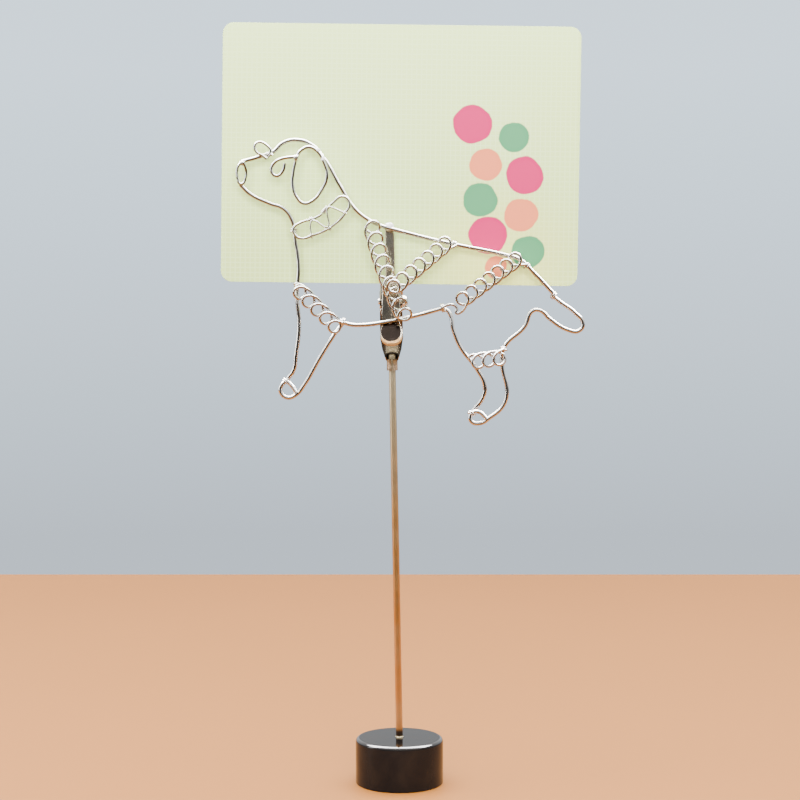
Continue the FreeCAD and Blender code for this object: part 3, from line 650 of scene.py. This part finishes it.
# Torsion spring. Hard spring wire, 0.5 mm thick, wound four and a half times
# round the rivet between the ears. Its legs press the tails of the jaws apart, and
# the turns wind up as the front jaw opens.
SPRING_RADIUS = 1.3
SPRING_PITCH = 0.7
SPRING_TURNS = 4.5
SPRING_STEPS = 12
SPRING_WIRE = 0.25

spring_wire = worn_metal(
    "spring_wire", metallic=1.0, scale=600.0, clean=0.22, touched=0.36, hue_scale=700.0,
    bright=(0.55, 0.53, 0.50, 1), warm=(0.36, 0.29, 0.22, 1))[0]

half_spring = SPRING_PITCH * SPRING_TURNS / 2
spring_run = [(-half_spring, -4.0, -5.8), (-half_spring, -2.6, -2.8)]
for i in range(int(SPRING_TURNS * SPRING_STEPS) + 1):
    turn = math.pi - math.tau * i / SPRING_STEPS
    spring_run.append((-half_spring + SPRING_PITCH * i / SPRING_STEPS,
                       SPRING_RADIUS * math.cos(turn), SPRING_RADIUS * math.sin(turn)))
spring_run += [(half_spring, 3.3, -4.5), (half_spring, 5.55, -10.0)]
spring = bent_wire(spring_run, CLIP, SPRING_WIRE, sides=3, pieces=3)
spring.name = "torsion_spring"
spring.data.materials.append(spring_wire)
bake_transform(spring)
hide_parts("clip_spring")


# Memo card. Coated card, 122 by 88 mm and 0.4 mm thick, held near the middle of its
# lower edge. Its front is printed with a paler grid on soft yellow-green, a yellow
# wash and a loose column of watercolour dots; its back is plain.
CARD_WIDTH = 0.122
CARD_HEIGHT = 0.088
CARD_THICK = 0.0004
CARD_CORNER = 0.0038
CARD_EDGE = 0.00006
CARD_RIGHT = 0.0043
CARD_ABOVE_PIN = 0.0059
CARD_LEAN = math.radians(1.85)
CARD = CLIP @ Matrix.Translation((CARD_RIGHT, 0, CARD_ABOVE_PIN + CARD_HEIGHT / 2)) \
    @ Matrix.Rotation(CARD_LEAN, 4, "Y")
GRID_PITCH = 0.0017
DOTS = [
    # across, up, radius, ink
    (0.0245, 0.0105, 0.0068, "pink"), (0.0385, 0.0065, 0.0052, "mint"),
    (0.0290, -0.0030, 0.0056, "peach"), (0.0425, -0.0065, 0.0066, "pink"),
    (0.0275, -0.0150, 0.0060, "mint"), (0.0415, -0.0200, 0.0058, "peach"),
    (0.0300, -0.0270, 0.0066, "pink"), (0.0440, -0.0325, 0.0056, "mint"),
    (0.0330, -0.0378, 0.0040, "peach"),
]
INKS = {"pink": (0.50, 0.001, 0.105, 1), "peach": (0.72, 0.19, 0.09, 1),
        "mint": (0.055, 0.25, 0.11, 1)}

# Painted dot: a round spot of ink with a wavering edge and a darker rim
dot, into, out = effect("Painted dot",
                        [("Vector", "Vector"), ("Waver", "Float"), ("Middle", "Vector"),
                         ("Radius", "Float"), ("Below", "Color"), ("Ink", "Color")],
                        [("Color", "Color")])
away = node(dot, "VectorMath", operation="DISTANCE")
bent = node(dot, "Math", operation="ADD")
rest = node(dot, "Math", operation="SUBTRACT")
inside = slope(dot, -0.0001, 0.00035, 0.985)
pool = slope(dot, 0.0, 0.0022, 0.012)
paler = node(dot, "MixRGB", Color2=(0.95, 0.72, 0.60, 1))
lay = node(dot, "MixRGB")
link(dot, into, "Vector", away, 0)
link(dot, into, "Middle", away, 1)
link(dot, away, "Value", bent, 0)
link(dot, into, "Waver", bent, 1)
link(dot, into, "Radius", rest, 0)
link(dot, bent, 0, rest, 1)
link(dot, rest, 0, inside, "Value")
link(dot, rest, 0, pool, "Value")
link(dot, into, "Ink", paler, "Color1")
link(dot, pool, "Result", paler, "Fac")
link(dot, into, "Below", lay, "Color1")
link(dot, paler, "Color", lay, "Color2")
link(dot, inside, "Result", lay, "Fac")
link(dot, lay, "Color", out, "Color")

paper, tree, shader = new_finish("printed_memo_card", Roughness=0.5, IOR=1.25)
where = node(tree, "TexCoord")
to_card = CARD.inverted()
flat = node(tree, "Mapping", Location=to_card.to_translation(), Rotation=to_card.to_euler())
axes = node(tree, "SeparateXYZ")
link(tree, where, "Object", flat, "Vector")
link(tree, flat, "Vector", axes, "Vector")
fade = node(tree, "MapRange", From_Min=-CARD_HEIGHT / 2, From_Max=CARD_HEIGHT / 2)
ground = node(tree, "ValToRGB")
ground.color_ramp.elements[0].color = (0.51, 0.66, 0.235, 1)
ground.color_ramp.elements[1].color = (0.69, 0.87, 0.335, 1)
link(tree, axes, "Z", fade, "Value")
link(tree, fade, "Result", ground, "Fac")
lines = []
for axis in ("X", "Z"):
    step = node(tree, "Math", operation="PINGPONG")
    step.inputs[1].default_value = GRID_PITCH / 2
    line = slope(tree, 0.00026, 0.00008, 0.24)
    link(tree, axes, axis, step, 0)
    link(tree, step, 0, line, "Value")
    lines.append(line.outputs["Result"])
grid = node(tree, "Math", operation="MAXIMUM")
tree.links.new(lines[0], grid.inputs[0])
tree.links.new(lines[1], grid.inputs[1])
ruled = node(tree, "MixRGB", Color2=(0.80, 0.93, 0.62, 1))
link(tree, grid, 0, ruled, "Fac")
link(tree, ground, "Color", ruled, "Color1")
mottle = node(tree, "TexNoise", Scale=120.0, Detail=4.0)
waver = node(tree, "MapRange", To_Min=-0.0011, To_Max=0.0011)
link(tree, flat, "Vector", mottle, "Vector")
link(tree, mottle, "Fac", waver, "Value")
level_front = node(tree, "VectorMath", operation="MULTIPLY")
level_front.inputs[1].default_value = (1.0, 0.0, 1.0)
link(tree, flat, "Vector", level_front, 0)
from_dots = node(tree, "VectorMath", operation="DISTANCE")
from_dots.inputs[1].default_value = (0.034, 0.0, -0.036)
halo = slope(tree, 0.036, 0.006, 0.55)
washed = node(tree, "MixRGB", Color2=(0.74, 0.72, 0.20, 1))
link(tree, level_front, "Vector", from_dots, 0)
link(tree, from_dots, "Value", halo, "Value")
link(tree, halo, "Result", washed, "Fac")
link(tree, ruled, "Color", washed, "Color1")
below = washed.outputs["Color"]
for across, up, radius, ink in DOTS:
    spot = use(tree, dot, Middle=(across, 0.0, up), Radius=radius, Ink=INKS[ink])
    link(tree, level_front, "Vector", spot, "Vector")
    link(tree, waver, "Result", spot, "Waver")
    tree.links.new(below, spot.inputs["Below"])
    below = spot.outputs["Color"]
side = node(tree, "MapRange", From_Min=-CARD_THICK * 0.45, From_Max=-CARD_THICK * 0.40)
printed = node(tree, "MixRGB", Color2=(0.72, 0.80, 0.55, 1))
link(tree, axes, "Y", side, "Value")
link(tree, side, "Result", printed, "Fac")
tree.links.new(below, printed.inputs["Color1"])
link(tree, printed, "Color", shader, "Base Color")
touch = use(tree, marks, Scale=70.0, Clean=0.42, Touched=0.58)
link(tree, flat, "Vector", touch, "Vector")
link(tree, touch, "Roughness", shader, "Roughness")
add_grain(tree, shader, flat.outputs["Vector"], 3500.0, 0.25, 0.00006)

clear()
bpy.ops.mesh.primitive_cube_add(size=1)
card = bpy.context.object
card.scale = (CARD_WIDTH, CARD_THICK, CARD_HEIGHT)
bpy.ops.object.transform_apply(location=False, rotation=False, scale=True)
round_off(card, lambda a, b: abs(a.y - b.y) > CARD_THICK / 2, CARD_CORNER, 14)
round_edges(card, CARD_EDGE, 2, 60)
shape_done(card, 30)
put(card, CARD)
hand_over(card, "memo_card_sheet", paper, "memo_paper", "stand", "memo_card")


# Frame wires. Six lengths of 1.4 mm wire, silver plated, bent by hand into the
# outline of a walking dog. Their ends lie side by side, and the longest is
# soldered to the tip of the front jaw.
FIGURE_FORWARD = 0.00565
FIGURE = CLIP @ Matrix.Translation((0, -FIGURE_FORWARD, 0))
FRAME_RADIUS = 0.7
COIL_RADIUS = 0.475
EAR_RADIUS = 0.6
LACE_RADIUS = 0.3
GAP = 0.02
WRAP_STEPS = 10
WRAP_PITCH = 2.1
BESIDE = 2 * FRAME_RADIUS + GAP
FRAME_WIRES = {
    # across and up from the rivet in millimetres, with a depth where it isn't nought
    "back_wire": [(-49.5, 48.0), (-43.4, 49.6), (-38.6, 51.3), (-35.5, 54.0), (-30.8, 55.0),
                  (-25.7, 53.2), (-21.5, 48.3), (-16.6, 39.6), (-11.7, 31.6), (-7.3, 27.8),
                  (-2.3, 25.4), (3.4, 23.7), (18.6, 19.6), (39.9, 14.7), (43.6, 13.5),
                  (48.9, 8.5), (55.9, 0.8)],
    "tail_wire": [(54.6, 1.2, BESIDE), (57.9, -1.6, BESIDE / 4), (62.3, -5.0), (65.08, -8.9),
                  (63.6, -11.3), (60.2, -11.0), (53.8, -7.0), (50.8, -4.2), (48.1, -4.2),
                  (45.3, -9.4), (38.0, -16.7), (37.4, -22.2), (38.9, -31.7), (37.3, -36.5),
                  (33.2, -40.0), (29.4, -42.1), (26.5, -41.2), (26.7, -38.8),
                  (29.0, -38.1, -BESIDE / 2), (31.8, -40.4, -BESIDE)],
    "chest_wire": [(-50.2, 40.4), (-46.7, 37.0), (-40.4, 33.8), (-35.7, 31.9), (-32.9, 28.0),
                   (-32.0, 21.9), (-31.0, 11.7), (-31.8, 3.6), (-31.3, -7.6), (-32.6, -17.8),
                   (-33.5, -22.8, BESIDE / 3), (-36.1, -26.2, BESIDE)],
    "front_leg_wire": [(-16.2, -6.9, BESIDE), (-19.1, -10.5, BESIDE / 3), (-24.6, -18.9),
                       (-29.9, -27.7), (-32.7, -31.0), (-35.7, -32.1), (-38.0, -30.2),
                       (-37.7, -27.9), (-36.0, -26.7), (-34.2, -28.0, -BESIDE / 2),
                       (-32.6, -30.5, -BESIDE)],
    "belly_wire": [(-17.5, -6.2), (-14.5, -7.5), (-10.1, -7.9), (-0.5, -6.8), (7.0, -5.4),
                   (17.5, -2.8)],
    "hind_leg_wire": [(17.2, -2.4, BESIDE), (19.6, -4.0, BESIDE / 2), (21.1, -10.3),
                      (23.4, -16.1), (28.7, -23.4), (31.3, -28.9), (30.9, -32.9, BESIDE / 4),
                      (27.2, -38.0, BESIDE)],
}


def laid(points, depth=0.0):
    """Points of the figure as (across, depth, up), at a depth unless they name one."""
    return [(p[0], p[2] if len(p) > 2 else depth, p[1]) for p in points]


silver, tree, shader = new_finish("silver_plated_wire", Metallic=1.0)
where = node(tree, "TexCoord")
facing = node(tree, "SeparateXYZ")
# Painted shade: the wires' undersides are coloured darker by which way they face
underside_shade_mask = slope(tree, 0.1, -0.6)
hue = use(tree, tarnish_and_painted_light, Scale=350.0, Bright=(0.93, 0.91, 0.87, 1), Warm=(0.29, 0.275, 0.28, 1))
touch = use(tree, marks, Scale=420.0, Clean=0.11, Touched=0.23)
link(tree, where, "Normal", facing, "Vector")
link(tree, facing, "Z", underside_shade_mask, "Value")
link(tree, underside_shade_mask, "Result", hue, "Where")
for placed in (hue, touch):
    link(tree, where, "Object", placed, "Vector")
link(tree, hue, "Color", shader, "Base Color")
link(tree, touch, "Roughness", shader, "Roughness")
add_grain(tree, shader, where.outputs["Object"], 2200.0, 0.03, 0.00004)


def wrap(middle, along, core, wire, turns):
    """A short helix of wire round a straight stretch of thicker wire."""
    along = Vector(along).normalized()
    out = along.cross(Vector((0, 1, 0))).normalized()
    toward = along.cross(out)
    run = []
    for i in range(int(turns * WRAP_STEPS) + 1):
        turn = math.tau * i / WRAP_STEPS
        run.append(Vector(middle)
                   + along * ((i / WRAP_STEPS - turns / 2) * WRAP_PITCH * wire)
                   + (out * math.cos(turn) + toward * math.sin(turn)) * (core + wire))
    return bent_wire(run, FIGURE, wire, sides=4, pieces=2)


# Where a frame wire ends on the next, its last bit is wound round both
FRAME_TIES = {
    # middle, direction, radius of what it goes round, its own radius, turns
    "back_wire": [((55.4, 0.6, 0.9), (0.7, 0, -0.72), 0.95, 0.28, 1.7)],
    "front_leg_wire": [((-36.1, 0.5, -26.5), (-0.7, 0, -0.72), 0.95, 0.3, 1.7)],
    "tail_wire": [((26.8, 0.5, -38.6), (-0.5, 0, -0.87), 0.95, 0.3, 1.7)],
    "hind_leg_wire": [((17.6, 0.55, -2.6), (1, 0, 0.1), 1.0, 0.3, 1.7)],
    "belly_wire": [((-16.3, 0.5, -6.7), (1, 0, -0.35), 0.95, 0.28, 1.3)],
}
for name, points in FRAME_WIRES.items():
    run = bent_wire(laid(points), FIGURE, FRAME_RADIUS, sides=6, pieces=10)
    for tie in FRAME_TIES.get(name, []):
        run = joined(run, wrap(*tie))
    hand_over(run, "bent_" + name, silver, "silver_wire", "front_jaw", name)


# Wires of the head. A ring of thin wire makes the muzzle's end, a small loop stands
# up as the brow, and thicker wire is bent to the eye and the hanging ear.
TRIM = -(FRAME_RADIUS + COIL_RADIUS + GAP)
EAR = -(FRAME_RADIUS + EAR_RADIUS + GAP)
OVER_EAR = -2 * EAR_RADIUS - GAP
OVER_COIL = -2 * COIL_RADIUS - GAP
NOSE = [(-48.4, 47.8), (-50.0, 47.2), (-51.0, 45.0), (-50.8, 42.1), (-50.2, 40.6),
        (-49.0, 40.7), (-48.2, 42.4), (-47.9, 44.4), (-48.2, 46.2, TRIM + 0.6 * OVER_COIL),
        (-48.8, 47.6, TRIM + OVER_COIL)]
BROW = [(-38.9, 49.8), (-39.7, 50.5), (-39.6, 51.8), (-41.0, 53.4), (-42.9, 54.4),
        (-44.5, 53.8), (-44.9, 52.4), (-44.1, 50.9), (-42.6, 50.0), (-40.9, 48.7)]
EYE = [(-34.8, 47.1), (-35.7, 44.4), (-37.7, 42.9), (-39.4, 44.5), (-38.5, 47.2),
       (-35.9, 48.6), (-32.2, 49.0, EAR + 0.8 * OVER_EAR), (-30.2, 49.0, EAR + OVER_EAR)]
DROP = [(-30.8, 49.2), (-29.4, 51.2), (-26.7, 52.4), (-24.0, 51.1), (-21.7, 47.3),
        (-20.7, 42.6), (-22.8, 37.6), (-26.0, 34.2), (-28.7, 33.5), (-31.0, 35.5),
        (-32.4, 40.1), (-32.0, 44.1), (-31.15, 48.1)]
HEAD_TIES = {
    "nose_ring": [((-49.3, TRIM - 0.2, 47.4), (0.9, 0, 0.4), 0.55, 0.25, 1.6)],
    "brow_loop": [((-40.0, -0.2, 50.2), (-0.6, 0, 0.8), 0.75, 0.3, 1.6)],
    "eye_wire": [((-31.0, EAR - 0.45, 48.8), (0.95, 0, 0.3), 0.85, 0.25, 2.3)],
}
for name, points, depth, radius in (("nose_ring", NOSE, TRIM, COIL_RADIUS),
                                    ("brow_loop", BROW, TRIM, COIL_RADIUS),
                                    ("eye_wire", EYE, EAR, EAR_RADIUS),
                                    ("ear_wire", DROP, EAR, EAR_RADIUS)):
    run = bent_wire(laid(points, depth), FIGURE, radius, pieces=10)
    for tie in HEAD_TIES.get(name, []):
        run = joined(run, wrap(*tie))
    hand_over(run, "bent_" + name, silver, "silver_wire", "front_jaw", name)


# Collar. A long loop of thin wire is laid slantwise across the neck and laced with
# one zigzag of fine wire.
COLLAR = [(-21.7, 30.9), (-19.1, 33.4), (-15.4, 35.6), (-13.3, 33.4), (-14.8, 30.0),
          (-19.6, 25.5), (-26.1, 22.6), (-30.2, 21.8), (-32.0, 23.1), (-32.4, 25.2),
          (-30.1, 27.0), (-25.3, 28.4), (-22.7, 29.8)]
ZIGZAG = [(-26.4, 22.4), (-26.3, 28.1), (-20.5, 24.9), (-21.0, 31.1), (-20.2, 32.3),
          (-14.8, 29.9)]
LACE = TRIM - COIL_RADIUS - LACE_RADIUS - GAP
collar = bent_wire(laid(COLLAR, TRIM), FIGURE, COIL_RADIUS, pieces=10)
collar = joined(collar, wrap((-32.4, -0.1, 24.6), (0.12, 0, 1), 0.68, 0.36, 1.6))
hand_over(collar, "collar_loop", silver, "silver_wire", "front_jaw", "collar_ring")
lacing = [ZIGZAG[0]]
for start, end in zip(ZIGZAG, ZIGZAG[1:]):
    for share in (0.12, 0.88):
        lacing.append((start[0] + (end[0] - start[0]) * share,
                       start[1] + (end[1] - start[1]) * share))
lacing.append(ZIGZAG[-1])
lace = bent_wire(laid(lacing, LACE), FIGURE, LACE_RADIUS, sides=3, pieces=4)
LACE_TIES = [
    ((-21.6, TRIM, 31.2), (0.70, 0, 0.71), 4.6), ((-26.2, TRIM, 28.2), (1, 0, 0.3), 1.4),
    ((-26.3, TRIM, 22.5), (1, 0, 0.3), 1.2), ((-20.3, TRIM, 24.9), (0.8, 0, 0.6), 1.4),
    ((-14.7, TRIM, 30.1), (0.5, 0, 0.87), 1.2),
]
for middle, along, turns in LACE_TIES:
    lace = joined(lace, wrap(middle, along, COIL_RADIUS, LACE_RADIUS * 0.9, turns))
hand_over(lace, "collar_lacing", silver, "silver_wire", "front_jaw", "collar_zigzag")


# Flattened coils. Thin wire is wound as a spring and pushed over, so that each turn
# lies as a ring on the next. They cross the body as shoulder, flank, chest, haunch
# and hock, and hang on the frame wires by their end turns.
COIL_DEPTH = 0.95
COIL_ALONG = 2.85
COIL_STEPS = 12
COILS = {
    # first and last ring's centre, turns, side, half width, lead in, lead out, and
    # for some how far the last ring stands forward and how far the row sags
    "shoulder_coil": ((-5.9, 24.9), (4.3, -4.7), 8, -1, 2.65,
                      [(-4.4, 26.3), (-6.1, 26.7), (-7.6, 25.9)], [(2.0, -6.3)],
                      0.0, (-0.8, -0.5)),
    "flank_coil": ((18.8, 18.8), (1.3, 4.6), 6, 1, 2.45, [(22.9, 18.6)], [], -2.92),
    "chest_coil": ((-30.4, 3.7), (-18.9, -8.0), 4, 1, 2.4,
                   [(-31.8, 4.6), (-31.6, 6.0)], [(-15.0, -7.3)]),
    "haunch_coil": ((42.4, 13.0), (24.5, 0.1), 6, 1, 2.4, [(45.9, 11.4)],
                    [(23.2, -4.5), (22.0, -4.4), (22.4, -2.9), (21.2, -1.7), (19.4, -1.6),
                     (17.4, -2.6)]),
    "hock_coil": ((29.1, -20.8), (36.3, -19.9), 2, 1, 2.4,
                  [(26.6, -20.6), (26.2, -19.4)], [(38.0, -16.8)]),
}


def coil_run(first, last, turns, side, half, lead_in, lead_out, forward=0.0, sag=(0.0, 0.0)):
    """Centre line of a coil between its end rings' centres."""
    begin, finish = Vector((first[0], 0, first[1])), Vector((last[0], 0, last[1]))
    along = (finish - begin).normalized()
    across = Vector((0, side, 0)).cross(along)
    pitch = (finish - begin).length / turns
    half_turn = COIL_STEPS // 2
    run = [(x, TRIM, z) for x, z in lead_in]
    for i in range(1 - half_turn, turns * COIL_STEPS + half_turn):
        turn = math.tau * i / COIL_STEPS + math.pi
        share = min(max(i / (turns * COIL_STEPS), 0.0), 1.0)
        spot = begin + along * (pitch * i / COIL_STEPS + COIL_ALONG * math.sin(turn)) \
            - across * (half * math.cos(turn)) \
            + Vector((sag[0], 0, sag[1])) * (4 * share * (1 - share))
        spot.y = TRIM - COIL_DEPTH + COIL_DEPTH * math.sin(turn) + forward * share
        run.append(tuple(spot))
    return run + [(x, TRIM, z) for x, z in lead_out]


COIL_TIES = {
    "flank_coil": ((21.9, 0, 18.85), (1, 0, -0.23), FRAME_RADIUS, 0.36, 1.5),
    "haunch_coil": ((46.3, 0, 11.1), (0.72, 0, -0.69), FRAME_RADIUS, 0.36, 1.3),
    "hock_coil": ((38.0, 0, -16.9), (0.2, 0, 1), FRAME_RADIUS, 0.36, 1.3),
    "chest_coil": ((-31.5, 0, 6.3), (-0.2, 0, 1), FRAME_RADIUS, 0.36, 1.3),
}
for name, plan in COILS.items():
    run = bent_wire(coil_run(*plan), FIGURE, COIL_RADIUS, sides=4, pieces=3)
    if name in COIL_TIES:
        run = joined(run, wrap(*COIL_TIES[name]))
    hand_over(run, "wound_" + name, silver, "silver_wire", "front_jaw", name)


# Solder. Soft solder holds the figure: a blob over the jaw's tip, a bead along the
# belly wire on the jaw's face and two lumps at the ear. It is coloured near white and
# little metallic, a painted highlight, and slightly lumpy, as it set.
LUMPS = 0.10

# Painted highlight: near-white colour with little metallic, so the solder reads bright
solder, tree, shader, where = worn_metal(
    "soft_solder", metallic=0.2, scale=900.0, clean=0.22, touched=0.38, hue_scale=900.0,
    bright=(1.0, 1.0, 0.99, 1), warm=(0.90, 0.88, 0.85, 1))
add_grain(tree, shader, where.outputs["Object"], 1500.0, 0.25, 0.00008)


def blob(middle, size, seed):
    """A set drop of solder about a point of the figure, in millimetres."""
    clear()
    bpy.ops.mesh.primitive_ico_sphere_add(subdivisions=2, radius=1.0)
    drop = bpy.context.object
    bpy.ops.object.mode_set(mode="EDIT")
    bpy.ops.transform.vertex_random(offset=LUMPS, seed=seed)
    bpy.ops.object.mode_set(mode="OBJECT")
    melt = drop.modifiers.new("melt", "SUBSURF")
    melt.levels = melt.render_levels = 2
    bpy.ops.object.modifier_apply(modifier="melt")
    drop.scale = [s * MM for s in size]
    bpy.ops.object.transform_apply(location=False, rotation=False, scale=True)
    shape_done(drop, 60)
    put(drop, FIGURE @ Matrix.Translation(Vector(middle) * MM))
    return drop


tip_drop = blob((-0.05, 0.35, 25.4), (1.75, 1.3, 1.45), 3)
hand_over(tip_drop, "solder_at_tip", solder, "solder", "front_jaw", "tip_solder")
face_drop = blob((-0.9, 0.35, -6.9), (1.6, 0.6, 0.75), 5)
hand_over(face_drop, "solder_on_face", solder, "solder", "front_jaw", "face_solder")
ear_drops = [blob((-23.7, -1.1, 51.3), (1.15, 1.0, 0.85), 7),
             blob((-22.0, -1.1, 48.4), (0.85, 1.0, 1.15), 8)]
hand_over(joined(*ear_drops), "solder_at_ear", solder, "solder", "front_jaw", "ear_solder")


# Studio. A plain table top in a warm colour, a backdrop and a glow from the world,
# two wide soft lights above, one at the left and one in front, and the camera.
TABLE_SIZE = (3.0, 0.68, 0.03)
TABLE_MIDDLE = (0, 0.16, -TABLE_SIZE[2] / 2)
CAMERA_PLACE = (0.0002, -0.605, 0.16105)
CAMERA_TILT = math.radians(87.4)

clear()
bpy.ops.mesh.primitive_cube_add(size=1, location=TABLE_MIDDLE)
table = bpy.context.object
table.scale = TABLE_SIZE
bpy.ops.object.transform_apply(location=True, rotation=True, scale=True)
table.name = "table_top"
table_paint, tree, shader = new_finish("table_paint", Roughness=0.55, IOR=1.25)
where = node(tree, "TexCoord")
mottle = node(tree, "TexNoise", Scale=4.0, Detail=2.0)
tint = node(tree, "MixRGB", Color1=(0.373, 0.131, 0.012, 1), Color2=(0.402, 0.141, 0.016, 1))
link(tree, where, "Object", mottle, "Vector")
link(tree, mottle, "Fac", tint, "Fac")
link(tree, tint, "Color", shader, "Base Color")
table.data.materials.append(table_paint)

world = bpy.data.worlds.new("studio_air")
bpy.context.scene.world = world
world.use_nodes = True
air = world.node_tree
air.nodes.clear()
where = node(air, "TexCoord")
axes = node(air, "SeparateXYZ")
height = node(air, "MapRange", From_Min=-0.3, From_Max=0.8)
glow = node(air, "ValToRGB")
glow.color_ramp.elements[0].position = 0.22
glow.color_ramp.elements[0].color = (0.12, 0.085, 0.06, 1)
glow.color_ramp.elements[1].position = 0.36
glow.color_ramp.elements[1].color = (0.90, 0.94, 0.98, 1)
glow.color_ramp.elements.new(1.0).color = (1.9, 1.9, 1.9, 1)
toward = slope(air, -0.05, -0.70, 0.96)
level = slope(air, 0.40, 0.10)
front_gap = node(air, "Math", operation="MULTIPLY")
dim = node(air, "MixRGB", Color2=(0.050, 0.042, 0.035, 1))
rise = node(air, "MapRange", From_Min=-0.12, From_Max=0.14)
backdrop = node(air, "ValToRGB")
backdrop.color_ramp.elements[0].color = (0.70, 0.80, 0.91, 1)
backdrop.color_ramp.elements[1].color = (1.22, 1.49, 1.72, 1)
plain = node(air, "Background")
lit = node(air, "Background")
seen = node(air, "LightPath")
pick = node(air, "MixShader")
end = node(air, "OutputWorld")
link(air, where, "Generated", axes, "Vector")
link(air, axes, "Z", height, "Value")
link(air, height, "Result", glow, "Fac")
link(air, axes, "Y", toward, "Value")
link(air, axes, "Z", level, "Value")
link(air, toward, "Result", front_gap, 0)
link(air, level, "Result", front_gap, 1)
link(air, front_gap, 0, dim, "Fac")
link(air, glow, "Color", dim, "Color1")
link(air, dim, "Color", lit, "Color")
link(air, seen, "Is Camera Ray", pick, "Fac")
link(air, axes, "Z", rise, "Value")
link(air, rise, "Result", backdrop, "Fac")
link(air, backdrop, "Color", plain, "Color")
link(air, lit, "Background", pick, 1)
link(air, plain, "Background", pick, 2)
link(air, pick, "Shader", end, "Surface")


def soft_light(name, place, aim, width, depth, power):
    """A white rectangular lamp at a place, turned to face a point."""
    bpy.ops.object.light_add(type="AREA", location=place)
    lamp = bpy.context.object
    lamp.name = name
    lamp.rotation_euler = (Vector(aim) - Vector(place)).to_track_quat("-Z", "Y").to_euler()
    lamp.data.shape = "RECTANGLE"
    lamp.data.size, lamp.data.size_y = width, depth
    lamp.data.energy = power
    return lamp


above = soft_light("overhead", (0.0, 0.1, 1.1), (0, 0, 0.1), 1.6, 0.8, 24)
above.visible_glossy = False
sheen = soft_light("overhead_sheen", (0.0, 0.20, 1.1), (0, 0.20, 0), 2.6, 0.9, 355)
sheen.visible_diffuse = False
soft_light("left_window", (-1.3, -0.15, 0.55), (0, 0, 0.2), 0.4, 1.0, 10)
front = soft_light("front_fill", (0.0, -1.6, 0.5), (0, 0, 0.15), 1.2, 0.8, 92)
front.visible_glossy = False

bpy.ops.object.camera_add(location=CAMERA_PLACE, rotation=(CAMERA_TILT, 0, 0))
camera = bpy.context.object
camera.data.sensor_width = 36.0
camera.data.lens = 78.75
bpy.context.scene.camera = camera
